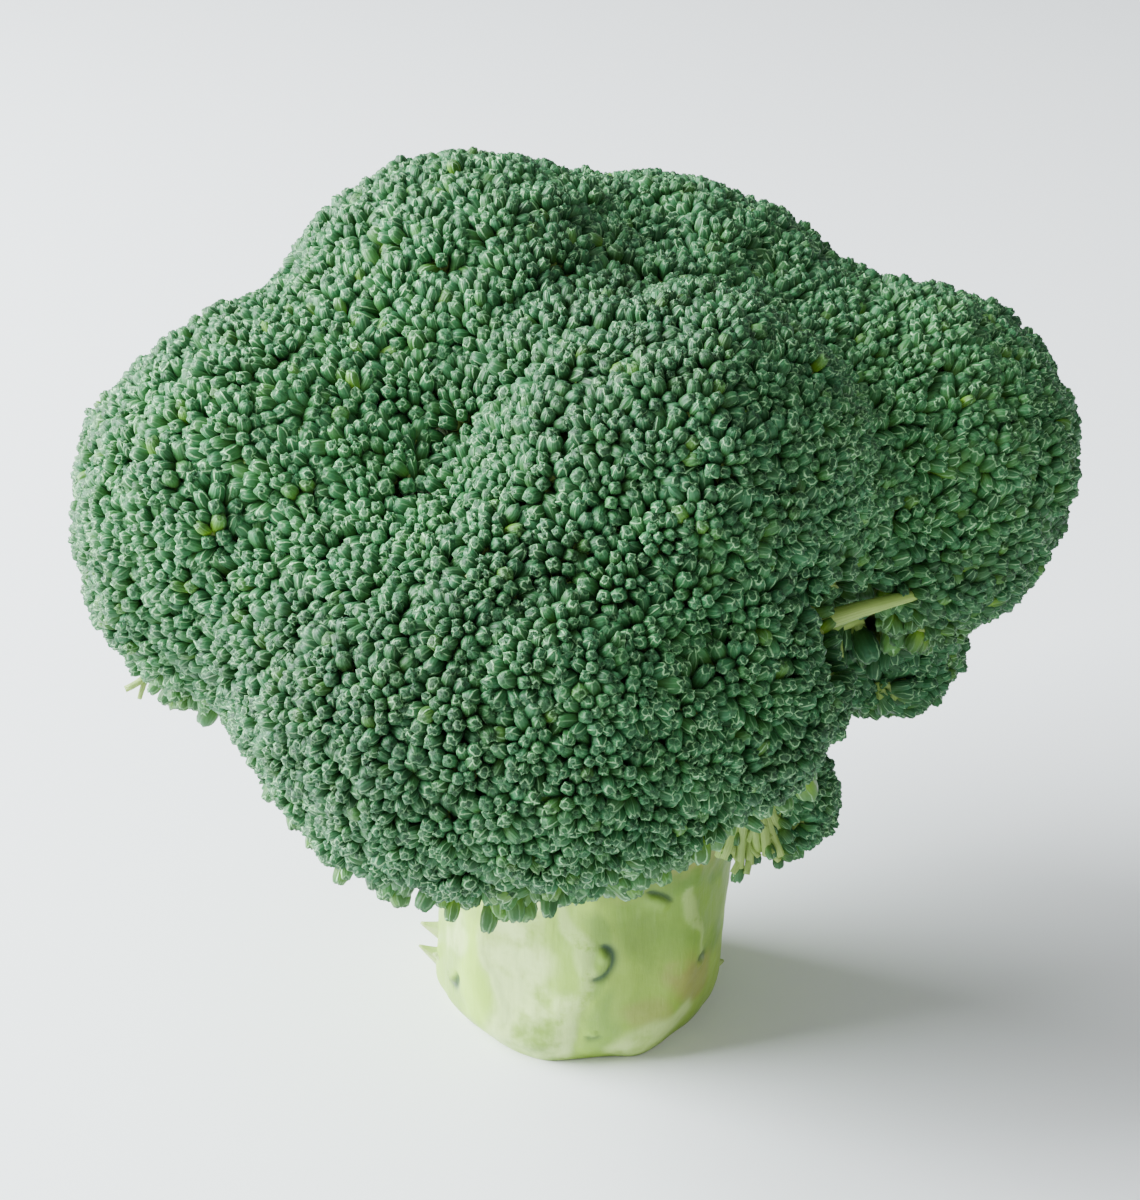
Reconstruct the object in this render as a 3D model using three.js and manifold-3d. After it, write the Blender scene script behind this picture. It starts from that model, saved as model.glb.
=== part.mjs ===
// A head of broccoli, cut from its plant and standing on the flat cut end of its stalk.
//
// One thick stalk splits into branches, and each branch ends in a floret: a fan of fine stems under a dome
// of packed flower buds. The stalk, each branch and each floret are separate solids with a hairline gap
// between them, because a head comes apart there when it is broken or cut up in a kitchen.
//
// Units are millimetres and degrees. The origin is the middle of the stalk's cut face, +Z is up,
// -Y is the front of the head and +X is its right side.

import * as THREE from 'three';
import { mergeVertices } from 'three/addons/utils/BufferGeometryUtils.js';
import Module from 'manifold-3d';

const wasm = await Module();
wasm.setup();

// ---------------------------------------------------------------- driving dimensions

const GAP = 0.3; // clearance left between neighbouring solids

const STALK = {
  radius: 24.2, // half the thickness of the trimmed stalk
  waist: 23.4, // the slightly thinner stretch under the branches
  height: 51, // cut face to the fork where the branches leave
  edge: 3.6, // width of the knife-trimmed bevel round the cut face
  edgeHeight: 5,
  edgeBulge: 0.28, // share of the bevel's width still left where it is nearly half way up
  crown: 13, // radius of the blunt top inside the head
  facets: 9, // flats left by peeling
  facetDepth: 0.8,
  segments: 36,
};

// Each floret is a dome on the end of a branch. `centre` is the middle of the dome, `across` and `down` are
// its half widths round the head and down its side, and `rise` is the height of the dome along its axis.
// `rim` is the angle from the axis at which the buds end, and `root` is the height on the stalk's axis that
// its branch grows from. `stem` is the branch's radius at the floret.
const FLORETS = [
  { name: 'front', centre: [-12, -38, 73], across: 37, down: 27, rise: 28, rim: 118, root: 37, stem: 9 },
  { name: 'front_left', centre: [-36, -24, 64], across: 12, down: 12, rise: 13, rim: 112, root: 35, stem: 4 },
  { name: 'front_right', centre: [18, -32, 74], across: 20, down: 20, rise: 20, rim: 114, root: 37, stem: 6 },
  { name: 'centre', centre: [13, -20, 99], across: 28, down: 26, rise: 26, rim: 100, root: 45, stem: 9 },
  { name: 'left', centre: [-41.5, -6, 87], across: 31, down: 31.5, rise: 32, rim: 112, root: 39, stem: 9 },
  { name: 'top_left', centre: [-14, 16, 98.5], across: 35, down: 35, rise: 35, rim: 98, root: 45, stem: 10 },
  { name: 'top_back', centre: [-4, 40, 98], across: 28, down: 26, rise: 26, rim: 98, root: 45, stem: 8 },
  { name: 'top_right', centre: [14, 26, 97], across: 31, down: 30, rise: 30, rim: 98, root: 45, stem: 9 },
  { name: 'right', centre: [47, 12, 86.5], across: 28, down: 26.5, rise: 29, rim: 132, root: 39, stem: 8 },
  { name: 'back', centre: [6, 50, 75], across: 25, down: 24, rise: 22, rim: 112, root: 37, stem: 7 },
  { name: 'back_left', centre: [-36, 34, 77], across: 26, down: 25, rise: 24, rim: 112, root: 35, stem: 7 },
  { name: 'back_right', centre: [38, 39, 77], across: 23, down: 23, rise: 21, rim: 112, root: 35, stem: 7 },
  { name: 'right_low', centre: [46, 25, 53], across: 19, down: 14, rise: 14, rim: 138, root: 29, stem: 5 },
  { name: 'front_right_low', centre: [30, -14, 45], across: 9, down: 9, rise: 9, rim: 112, root: 31, stem: 3.5 },
];

// Small heads that swell out of each dome: `spread` is the half angle of one, `reach` how far round the
// dome they go as a drop in height, `mean` the swelling that leaves a dome its size, and `fade` the share
// of the rise over which they grow from the rim.
const LUMPS = { count: 11, height: 1.6, spread: 34, reach: 1.5, mean: 0.6, fade: 0.35 };

// Under its rim a floret draws in to its branch: `neck` is the depth of that skirt as a share of the
// floret's size, and `flare` the share of it that widens evenly, the rest widening near the rim.
const SKIRT = { neck: 0.72, flare: 0.35, steps: 5 };

const DOME = { steps: 8, segments: 26 };
const BRANCH = { flare: 1.25, sides: 10, steps: 5 }; // `flare` thickens a branch where it leaves the stalk

const COLOURS = { stalk: 0xbfd08c, branch: 0xa9c07a, floret: 0x4f7f5a };

// ---------------------------------------------------------------- solids and meshes

const degrees = THREE.MathUtils.degToRad;
const goldenAngle = Math.PI * (3 - Math.sqrt(5));

// A closed geometry as a manifold-3d solid.
function solidOf(geometry) {
  const bare = geometry.clone();
  bare.deleteAttribute('normal');
  bare.deleteAttribute('uv');
  const merged = mergeVertices(bare, 1e-3);
  return new wasm.Manifold(new wasm.Mesh({
    numProp: 3,
    vertProperties: new Float32Array(merged.attributes.position.array),
    triVerts: new Uint32Array(merged.index.array),
  }));
}

// A cut can leave crumbs: the piece itself is the largest body.
function largestOf(solid) {
  return solid.decompose().sort((a, b) => b.volume() - a.volume())[0];
}

function meshOf(solid, name, colour, roughness) {
  const { numProp, numVert, vertProperties, triVerts } = solid.getMesh();
  const places = new Float32Array(numVert * 3);
  for (let i = 0; i < numVert; i += 1) {
    places.set(vertProperties.subarray(i * numProp, i * numProp + 3), i * 3);
  }
  const geometry = new THREE.BufferGeometry();
  geometry.setAttribute('position', new THREE.BufferAttribute(places, 3));
  geometry.setIndex(new THREE.BufferAttribute(triVerts, 1));
  geometry.computeVertexNormals();
  const material = new THREE.MeshStandardMaterial({ color: colour, roughness, metalness: 0 });
  const mesh = new THREE.Mesh(geometry, material);
  mesh.name = name;
  return mesh;
}

// ---------------------------------------------------------------- stalk

// The trimmed stalk: a bevelled cut face, a straight shank and a blunt top hidden in the head.
// Peeling leaves shallow flats down its sides. `grow` swells it, to cut its neighbours clear of it.
function stalkGeometry(grow = 0) {
  const { radius, waist, height, edge, edgeHeight, edgeBulge, crown } = STALK;
  const foot = grow > 0 ? -grow : 0;
  const profile = [
    [0, foot],
    [radius - edge + grow, foot],
    [radius - edge * edgeBulge + grow, edgeHeight * 0.45],
    [radius + grow, edgeHeight * 1.6],
    [waist + grow, height * 0.5],
    [waist + grow, height * 0.72],
    [crown + grow, height + grow],
    [0, height + grow],
  ].map(([x, y]) => new THREE.Vector2(x, y));
  const lathe = new THREE.LatheGeometry(profile, STALK.segments);
  const place = lathe.attributes.position;
  for (let i = 0; i < place.count; i += 1) {
    const x = place.getX(i);
    const z = place.getZ(i);
    const turn = Math.atan2(z, x) * STALK.facets;
    const reach = Math.hypot(x, z);
    const flat = (STALK.facetDepth * (Math.cos(turn) - 1)) / 2;
    const share = reach > 1 ? (reach + flat) / reach : 1;
    place.setXYZ(i, x * share, place.getY(i), z * share);
  }
  return lathe.rotateX(Math.PI / 2);
}

// ---------------------------------------------------------------- florets

// The frame of a floret: its axis from the stalk to the dome, and the level direction across it.
function frameOf({ centre, root, down, rise, rim }) {
  const middle = new THREE.Vector3(...centre);
  const start = new THREE.Vector3(0, 0, root);
  const axis = middle.clone().sub(start).normalize();
  const across = new THREE.Vector3(0, 0, 1).cross(axis).normalize();
  const side = across.clone().cross(axis);
  const rimDrop = rise * Math.cos(degrees(rim));
  const neck = middle.clone().addScaledVector(axis, rimDrop - SKIRT.neck * down);
  return { middle, start, axis, across, side, neck };
}

// How far the small heads lift the dome at a direction seen from its centre.
function lumpHeight(direction) {
  let lift = 0;
  for (let k = 0; k < LUMPS.count; k += 1) {
    const tall = 1 - (LUMPS.reach * (k + 0.5)) / LUMPS.count;
    const ring = Math.sqrt(1 - tall * tall);
    const lump = new THREE.Vector3(ring * Math.cos(k * goldenAngle), tall, ring * Math.sin(k * goldenAngle));
    const away = THREE.MathUtils.radToDeg(direction.angleTo(lump)) / LUMPS.spread;
    lift = Math.max(lift, 1 - away * away);
  }
  return LUMPS.height * lift;
}

// One floret about its own axis (+Y): a lumpy dome down to the rim, then a skirt of fine stems that
// draws in to the neck, where a flat face meets the branch.
function floretGeometry(floret) {
  const { across, down, rise, rim, stem } = floret;
  const rimAngle = degrees(rim);
  const rimDrop = rise * Math.cos(rimAngle);
  const neckDrop = rimDrop - SKIRT.neck * down;
  const neckShare = stem / down;
  const profile = [new THREE.Vector2(0, neckDrop), new THREE.Vector2(neckShare, neckDrop)];
  for (let i = 1; i < SKIRT.steps; i += 1) {
    const t = i / SKIRT.steps;
    const widening = SKIRT.flare * t + (1 - SKIRT.flare) * t * t;
    const flare = neckShare + (Math.sin(rimAngle) - neckShare) * widening;
    profile.push(new THREE.Vector2(flare, neckDrop + (rimDrop - neckDrop) * Math.sin((t * Math.PI) / 2)));
  }
  for (let i = 0; i <= DOME.steps; i += 1) {
    const angle = rimAngle * (1 - i / DOME.steps);
    profile.push(new THREE.Vector2(Math.sin(angle), rise * Math.cos(angle)));
  }
  profile[profile.length - 1].x = 0;
  const lathe = new THREE.LatheGeometry(profile, DOME.segments);
  lathe.scale(across, 1, down);
  const place = lathe.attributes.position;
  const point = new THREE.Vector3();
  for (let i = 0; i < place.count; i += 1) {
    point.fromBufferAttribute(place, i);
    const onDome = THREE.MathUtils.smoothstep(point.y, neckDrop, rimDrop + LUMPS.fade * rise);
    const direction = point.clone().divide(new THREE.Vector3(across, rise, down)).normalize();
    const lift = (lumpHeight(direction) - LUMPS.height * LUMPS.mean) * onDome;
    point.addScaledVector(point.clone().normalize(), lift);
    place.setXYZ(i, point.x, point.y, point.z);
  }
  return lathe;
}

function placedFloret(floret) {
  const { middle, axis, across, side } = frameOf(floret);
  const matrix = new THREE.Matrix4().makeBasis(across, axis, side);
  return floretGeometry(floret).applyMatrix4(matrix).translate(middle.x, middle.y, middle.z);
}

// The radius of a floret's dome towards a point.
function radiusTowards(floret, direction) {
  const { axis, across, side } = frameOf(floret);
  const share = Math.hypot(
    direction.dot(across) / floret.across,
    direction.dot(side) / floret.down,
    direction.dot(axis) / floret.rise,
  );
  return 1 / share;
}

// Neighbouring domes press on each other along a flat seam through the line where their surfaces cross.
function seamBetween(floret, other) {
  const middle = new THREE.Vector3(...floret.centre);
  const apart = new THREE.Vector3(...other.centre).sub(middle);
  const distance = apart.length();
  const towards = apart.normalize();
  const own = radiusTowards(floret, towards);
  const theirs = radiusTowards(other, towards);
  if (own + theirs < distance) return null;
  const offset = (distance * distance + own * own - theirs * theirs) / (2 * distance);
  return { normal: towards, offset: middle.dot(towards) + offset - GAP / 2 };
}

// ---------------------------------------------------------------- branches

// A branch is a tapering tube from inside the stalk to the floret's neck.
function branchGeometry(floret, grow = 0) {
  const { start, neck, axis } = frameOf(floret);
  const length = neck.distanceTo(start) - GAP;
  const root = floret.stem * BRANCH.flare;
  const profile = [new THREE.Vector2(0, 0)];
  for (let i = 0; i <= BRANCH.steps; i += 1) {
    const t = i / BRANCH.steps;
    const waist = root + (floret.stem - root) * Math.sin((t * Math.PI) / 2);
    profile.push(new THREE.Vector2(waist + grow, t * (length + grow)));
  }
  profile.push(new THREE.Vector2(0, length + grow));
  const turn = new THREE.Quaternion().setFromUnitVectors(new THREE.Vector3(0, 1, 0), axis);
  const tube = new THREE.LatheGeometry(profile, BRANCH.sides).applyQuaternion(turn);
  return tube.translate(start.x, start.y, start.z);
}

// ---------------------------------------------------------------- the head

const head = new THREE.Group();

const stalk = solidOf(stalkGeometry());
head.add(meshOf(stalk, 'stalk', COLOURS.stalk, 0.55));

// `taken` is the room that finished pieces hold, with the gap round them.
let taken = solidOf(stalkGeometry(GAP));
for (const floret of FLORETS) {
  const branch = largestOf(solidOf(branchGeometry(floret)).subtract(taken));
  taken = taken.add(solidOf(branchGeometry(floret, GAP)));
  head.add(meshOf(branch, `branch_${floret.name}`, COLOURS.branch, 0.55));
}

for (const floret of FLORETS) {
  let dome = solidOf(placedFloret(floret));
  for (const other of FLORETS) {
    const seam = other === floret ? null : seamBetween(floret, other);
    if (seam) dome = dome.trimByPlane(seam.normal.negate().toArray(), -seam.offset);
  }
  head.add(meshOf(largestOf(dome.subtract(taken)), `floret_${floret.name}`, COLOURS.floret, 0.7));
}

export default head;
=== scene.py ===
"""A head of broccoli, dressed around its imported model.

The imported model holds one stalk, its branches and its florets as plain solids. Here each floret gets its
real build: closed flower buds in small domed clusters, a thin stem under every bud, and branchlets that
gather the stems and carry them down to the branch. The stalk gets its peeled facets, leaf scars and torn
fibres.

Lengths are in metres and angles in degrees. +Z is up, -Y is the front and +X is the right side.
"""

import logging
import math
import random
from dataclasses import dataclass, field
from enum import Enum

import bmesh
import bpy
import numpy as np
from mathutils import Matrix, Vector, noise
from mathutils.bvhtree import BVHTree
from mathutils.kdtree import KDTree


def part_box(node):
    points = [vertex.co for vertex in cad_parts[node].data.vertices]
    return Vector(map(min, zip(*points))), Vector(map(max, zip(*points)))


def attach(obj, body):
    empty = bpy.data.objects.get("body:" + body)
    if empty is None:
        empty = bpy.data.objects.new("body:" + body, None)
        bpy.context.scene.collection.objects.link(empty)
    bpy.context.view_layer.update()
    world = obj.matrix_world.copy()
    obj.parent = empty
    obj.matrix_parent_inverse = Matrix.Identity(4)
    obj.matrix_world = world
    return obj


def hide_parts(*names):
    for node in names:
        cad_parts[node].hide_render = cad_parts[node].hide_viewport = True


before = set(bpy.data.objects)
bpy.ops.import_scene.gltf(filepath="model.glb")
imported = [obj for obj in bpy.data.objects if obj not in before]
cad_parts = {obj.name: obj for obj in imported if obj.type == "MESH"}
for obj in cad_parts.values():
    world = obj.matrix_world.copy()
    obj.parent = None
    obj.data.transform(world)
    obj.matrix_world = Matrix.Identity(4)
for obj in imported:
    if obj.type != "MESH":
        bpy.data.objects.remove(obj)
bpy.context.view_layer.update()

LOG = logging.getLogger("broccoli")
MM = 0.001
BODY = "root"
SEED = 7
GOLDEN_ANGLE = math.pi * (3 - math.sqrt(5))
HEXAGONAL_SHARE = math.sqrt(3) / 2  # the area that one disc takes in a close packing, for a spacing of one
ON_AXIS = 1e-4  # closer to the axis than this, a corner of a unit shape lies on it
AT_CENTRE = 1e-6  # closer than this, in metres, a bud is at its cluster's centre

Colour = tuple[float, float, float, float]


class Slot(Enum):
    """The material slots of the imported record."""

    STALK = "stalk"
    BRANCH = "branch"
    BUDS = "buds"


class Map(Enum):
    """The UV maps and attributes that the finishes read."""

    SURFACE = "SurfaceMap"  # U runs round a piece and V along it
    TINT = "Tint"  # on buds red is yellowness, green is brightness with painted light and shade, blue is a random share; on stems red is the share of painted shade
    MARK = "Mark"  # red is scar, green is bare pale flesh, blue is yellow flush
    STAIN = "Stain"  # red is green skin, partly painted shade; green is a tan blush, partly painted shade; blue is a pale crest on the ridges, partly a painted highlight
    BAKE = "OFBake"


# ---------------------------------------------------------------------------------------------- helpers


def smoothstep(low: float, high: float, value: float) -> float:
    """Rises smoothly from 0 at low to 1 at high."""
    t = min(1.0, max(0.0, (value - low) / (high - low)))
    return t * t * (3 - 2 * t)


def bell(value: float) -> float:
    """Falls smoothly from 1 at zero towards 0 on both sides."""
    return math.exp(-(value**2))


def mixed(first: float, second: float, share: float) -> float:
    """The value that lies share of the way from first to second."""
    return first + (second - first) * share


def bow(start: Vector, bend: Vector, end: Vector, t: float) -> Vector:
    """A point on the curve from start to end that is drawn towards bend."""
    return start * (1 - t) ** 2 + bend * (2 * t * (1 - t)) + end * t**2


def mm(x: float, y: float, z: float) -> Vector:
    """A place or a size given in millimetres."""
    return Vector((x, y, z)) * MM


def turn_to(axis: Vector, roll: float = 0.0) -> Matrix:
    """The turn that carries +Z onto axis, after a roll about +Z."""
    lift = axis.to_track_quat("Z", "Y").to_matrix().to_4x4()
    return lift @ Matrix.Rotation(roll, 4, "Z")


def mesh_from(bm: bmesh.types.BMesh, name: str) -> bpy.types.Mesh:
    """Writes a bmesh out as a smooth mesh and frees it.

    Args:
        bm: The bmesh.
        name: The mesh's name.

    Returns:
        The mesh.
    """
    mesh = bpy.data.meshes.new(name)
    bm.to_mesh(mesh)
    bm.free()
    mesh.polygons.foreach_set("use_smooth", np.ones(len(mesh.polygons), dtype=bool))
    mesh.update()
    return mesh


def coordinates(mesh: bpy.types.Mesh) -> np.ndarray:
    """The places of a mesh's vertices, one row each."""
    places = np.empty(len(mesh.vertices) * 3, dtype=np.float32)
    mesh.vertices.foreach_get("co", places)
    return places.reshape(-1, 3)


def move_to(mesh: bpy.types.Mesh, places: np.ndarray) -> None:
    """Moves a mesh's vertices to new places."""
    mesh.vertices.foreach_set("co", places.astype(np.float32).ravel())
    mesh.update()


def absorb(whole: bmesh.types.BMesh, mesh: bpy.types.Mesh) -> None:
    """Adds a mesh to a bmesh and removes the mesh."""
    whole.from_mesh(mesh)
    bpy.data.meshes.remove(mesh)


def linked(name: str, data: bpy.types.ID) -> bpy.types.Object:
    """A new object in the scene."""
    made = bpy.data.objects.new(name, data)
    bpy.context.scene.collection.objects.link(made)
    return made


def spoke(turn: float) -> Vector:
    """The level direction at a turn about +Z."""
    return Vector((math.cos(turn), math.sin(turn), 0))


def nearest_among(places: list[Vector] | np.ndarray) -> KDTree:
    """A search tree over places.

    Args:
        places: The places.

    Returns:
        The tree, which finds the number of the nearest place.
    """
    near = KDTree(len(places))
    for number, place in enumerate(places):
        near.insert(place, number)
    near.balance()
    return near


def paint(mesh: bpy.types.Mesh, name: Map, colours: np.ndarray | tuple[float, ...]) -> None:
    """Stores one colour for each vertex of a mesh.

    Args:
        mesh: The mesh that gets the attribute.
        name: Which attribute it is.
        colours: One row of red, green and blue for each vertex, or one for them all.
    """
    layer = mesh.attributes.new(name.value, "FLOAT_COLOR", "POINT")
    full = np.ones((len(mesh.vertices), 4), dtype=np.float32)
    full[:, :3] = colours
    layer.data.foreach_set("color", full.ravel())


def add_piece(mesh: bpy.types.Mesh, name: str, finish: bpy.types.Material) -> bpy.types.Object:
    """Makes a finished mesh a piece of the head.

    Args:
        mesh: The mesh, with its place in its vertices.
        name: The piece's name.
        finish: The material that it wears.

    Returns:
        The piece, riding on the head's body.
    """
    piece = linked(name, mesh)
    piece.data.materials.append(finish)
    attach(piece, BODY)
    LOG.info("%s: %d faces", name, len(mesh.polygons))
    return piece


# --------------------------------------------------------------------------------------------- finishes


class ShaderWriter:
    """Writes the nodes of one material, one call for each node."""

    def __init__(self, name: str) -> None:
        """Starts an empty material."""
        self.material = bpy.data.materials.new(name)
        self.material.use_nodes = True
        self.tree = self.material.node_tree
        self.tree.nodes.clear()

    def node(self, kind: str, inputs: dict | None = None, **settings: object) -> bpy.types.Node:
        """Adds a node.

        Args:
            kind: The node's type name.
            inputs: Values or sockets for its inputs, by name or number.
            **settings: The node's own properties.

        Returns:
            The new node.
        """
        made = self.tree.nodes.new(kind)
        for key, value in settings.items():
            setattr(made, key, value)
        for key, value in (inputs or {}).items():
            self.feed(made.inputs[key], value)
        return made

    def feed(self, socket: bpy.types.NodeSocket, value: object) -> None:
        """Joins a socket to another, or sets its value."""
        if isinstance(value, bpy.types.NodeSocket):
            self.tree.links.new(value, socket)
        else:
            socket.default_value = value

    def math(self, operation: str, first: object, second: object = 0.0, clamp: bool = False) -> object:
        """One sum on numbers."""
        made = self.node("ShaderNodeMath", {0: first, 1: second}, operation=operation, use_clamp=clamp)
        return made.outputs[0]

    def plus(self, first: object, second: object, clamp: bool = False) -> object:
        """The sum of two numbers."""
        return self.math("ADD", first, second, clamp)

    def minus(self, first: object, second: object) -> object:
        """The difference of two numbers."""
        return self.math("SUBTRACT", first, second)

    def times(self, first: object, second: object, clamp: bool = False) -> object:
        """The product of two numbers."""
        return self.math("MULTIPLY", first, second, clamp)

    def gap(self, first: object, second: object) -> object:
        """How far apart two numbers are."""
        return self.math("ABSOLUTE", self.minus(first, second))

    def varied(self, chance: object, turns: float, low: float, high: float, least: float) -> object:
        """A strength from least to 1 that differs from bud to bud."""
        share = self.step(self.math("FRACT", self.times(chance, turns)), low, high)
        return self.plus(least, self.times(share, 1 - least))

    def channels(self, name: Map) -> list[object]:
        """The red, green and blue of an attribute."""
        colour = self.node("ShaderNodeAttribute", attribute_name=name.value).outputs["Color"]
        return list(self.node("ShaderNodeSeparateColor", {0: colour}).outputs)

    def surface(self) -> object:
        """The place on the piece's surface map."""
        return self.node("ShaderNodeUVMap", uv_map=Map.SURFACE.value).outputs[0]

    def place(self) -> object:
        """The place on the piece itself."""
        return self.node("ShaderNodeTexCoord").outputs["Object"]

    def step(self, value: object, low: object, high: object) -> object:
        """A smooth rise.

        Args:
            value: The number read.
            low: Where the rise starts, at 0.
            high: Where it ends, at 1.

        Returns:
            The risen number.
        """
        made = self.node(
            "ShaderNodeMapRange",
            {"Value": value, "From Min": low, "From Max": high},
            interpolation_type="SMOOTHSTEP",
        )
        return made.outputs[0]

    def blend(self, share: object, first: object, second: object, way: str = "MIX") -> object:
        """Mixes two colours.

        Args:
            share: How much of the second colour shows.
            first: The first colour.
            second: The second colour.
            way: How they are mixed.

        Returns:
            The mixed colour.
        """
        made = self.node("ShaderNodeMix", data_type="RGBA", blend_type=way, clamp_factor=True)
        self.feed(made.inputs[0], share)
        self.feed(made.inputs[6], first)
        self.feed(made.inputs[7], second)
        return made.outputs[2]

    def speckle(self, place: object, scale: float, detail: float = 2.0, rough: float = 0.5) -> object:
        """Soft noise.

        Args:
            place: Where it is read.
            scale: How many specks there are to a unit of length.
            detail: How many finer layers it has.
            rough: How strong the finer layers are.

        Returns:
            The noise, from 0 to 1.
        """
        made = self.node(
            "ShaderNodeTexNoise",
            {"Vector": place, "Scale": scale, "Detail": detail, "Roughness": rough},
        )
        return made.outputs[0]

    def stretched(self, place: object, scale: tuple[float, float, float]) -> object:
        """A place with its axes scaled, so that a pattern runs out along the small ones."""
        made = self.node("ShaderNodeMapping", {"Vector": place, "Scale": scale})
        return made.outputs[0]

    def finish(self, colour: object, bump: object, depth: float, **surface: object) -> bpy.types.Material:
        """Ends the material in one surface shader.

        Args:
            colour: The base colour.
            bump: A height from 0 to 1.
            depth: How far apart heights 0 and 1 are, in metres.
            **surface: Fixed values of the surface shader, with _ for a space.

        Returns:
            The finished material.
        """
        relief = self.node("ShaderNodeBump", {"Strength": 1.0, "Distance": depth, "Height": bump})
        inputs = {"Base Color": colour, "Normal": relief.outputs[0]}
        inputs |= {key.replace("_", " "): value for key, value in surface.items()}
        shader = self.node("ShaderNodeBsdfPrincipled", inputs)
        self.node("ShaderNodeOutputMaterial", {"Surface": shader.outputs[0]})
        return self.material


@dataclass(frozen=True)
class BudFinish:
    """The skin of the closed buds: waxy blue-green sepals with thin pale edges.

    The surface map runs once round the bud, and from 0 at its foot to 1 at its tip.
    """

    # shade is a dark green, partly the buds' own and partly painted shade: it darkens each bud towards its
    # foot and in the slit between the outer sepals
    shade: Colour = (0.011, 0.062, 0.016, 1)
    leaf: Colour = (0.014, 0.080, 0.020, 1)
    bloom: Colour = (0.036, 0.160, 0.068, 1)
    yellow: Colour = (0.170, 0.350, 0.018, 1)
    edge: Colour = (0.300, 0.570, 0.270, 1)
    # painted shade in the small opening where the sepals' tips meet
    painted_throat_shade: Colour = (0.010, 0.050, 0.016, 1)
    sheen: Colour = (0.60, 0.95, 0.80, 1)
    slit: float = 0.085  # half width of the inner sepal that shows between the outer two, round the bud
    slit_foot: float = 0.18  # where the slit starts along the bud
    slit_length: float = 0.84
    edge_width: float = 0.016
    edge_growth: float = 0.018  # how much wider the pale edge is near the tip
    ridge_place: float = 0.135  # the middle of the two faint ridges on an outer sepal, round the bud
    ridge_spread: float = 0.06
    ridge_width: float = 0.022
    ridge_strength: float = 0.14
    dullest: float = 0.62  # the level of the least bright bud
    brightening: float = 0.76

    def material(self) -> bpy.types.Material:
        """Writes the material.

        Returns:
            The buds' material.
        """
        w = ShaderWriter("bud_skin")
        surface, place = w.surface(), w.place()
        around, along = w.node("ShaderNodeSeparateXYZ", {0: surface}).outputs[:2]
        yellowness, brightness, chance = w.channels(Map.TINT)
        fine = w.speckle(place, 1100.0, 3.0, 0.6)
        apart = self.from_sepal(w, around, place, chance)
        swell = w.math("SINE", w.times(w.minus(along, self.slit_foot), math.pi / self.slit_length))
        half = w.times(w.math("MAXIMUM", swell, 0.0), self.slit)
        inside = w.times(w.math("LESS_THAN", apart, half), w.step(along, 0.2, 0.5))
        ragged = w.plus(along, w.times(w.minus(fine, 0.5), 0.12))
        ragged = w.plus(ragged, w.times(w.minus(apart, 0.125), 0.40))
        line = self.edges(w, apart, half, along, place, chance)
        pale = w.math("MAXIMUM", line, self.collar(w, ragged, place, chance))
        # painted shade: the dark opening at the tip, with a few pale specks in it
        painted_throat_shade = w.times(w.step(ragged, 0.82, 0.88), w.minus(0.62, w.step(fine, 0.52, 0.70)), clamp=True)
        waves = {"Vector": surface, "Scale": 5.0, "Distortion": 3.0, "Detail": 1.0}
        rib = w.node("ShaderNodeTexWave", waves).outputs[1]

        # darker towards the foot: partly the bud's own green, partly painted shade between the crowded buds
        colour = w.blend(w.step(along, 0.20, 0.85), self.shade, self.leaf)
        waxy = w.times(w.step(w.speckle(place, 260.0, 3.0, 0.6), 0.30, 0.72), w.step(along, 0.25, 0.80))
        waxy = w.times(waxy, w.step(fine, 0.25, 0.65))
        colour = w.blend(w.times(waxy, 0.9), colour, self.bloom)
        colour = w.blend(w.times(rib, 0.16), colour, self.bloom)
        low = w.minus(1.0, w.step(along, 0.15, 0.75))
        warm = w.times(low, w.plus(0.10, w.times(yellowness, 1.4)))
        colour = w.blend(w.plus(w.times(yellowness, 0.55), warm, clamp=True), colour, self.yellow)
        # the inner sepal in the slit takes the shade colour: partly its own darker green, partly painted
        # shade in the slit
        colour = w.blend(w.times(inside, 0.45), colour, self.shade)
        colour = w.blend(w.times(pale, 0.95), colour, self.edge)
        colour = w.blend(painted_throat_shade, colour, self.painted_throat_shade)
        # the brightness multiplies the colour and carries painted light and painted shade from the crown's
        # regions
        level = w.plus(self.dullest, w.times(brightness, self.brightening))
        gain = w.node("ShaderNodeCombineColor", {0: level, 1: level, 2: level}).outputs[0]
        colour = w.blend(1.0, colour, gain, "MULTIPLY")
        relief = w.minus(w.plus(w.times(pale, 0.7), w.times(rib, 0.2)), w.times(inside, 0.3))
        return w.finish(
            colour, relief, 0.12 * MM, Roughness=0.50, Specular_IOR_Level=0.24,
            Sheen_Weight=0.04, Sheen_Roughness=0.45, Sheen_Tint=self.sheen,
        )

    def from_sepal(self, w: ShaderWriter, around: object, place: object, chance: object) -> object:
        """How far round the bud a point is from the middle of the nearer inner sepal.

        Args:
            w: The material's writer.
            around: The turn round the bud.
            place: The place on the piece.
            chance: The bud's own chance share.

        Returns:
            A share of a turn, from 0 to 0.25, for two inner sepals that are half a turn apart.
        """
        wobble = w.times(w.minus(w.speckle(place, 900.0), 0.5), 0.05)
        turned = w.plus(w.plus(around, wobble), w.times(chance, 0.5))
        return w.times(w.gap(w.math("FRACT", w.times(turned, 2.0)), 0.5), 0.5)

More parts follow.
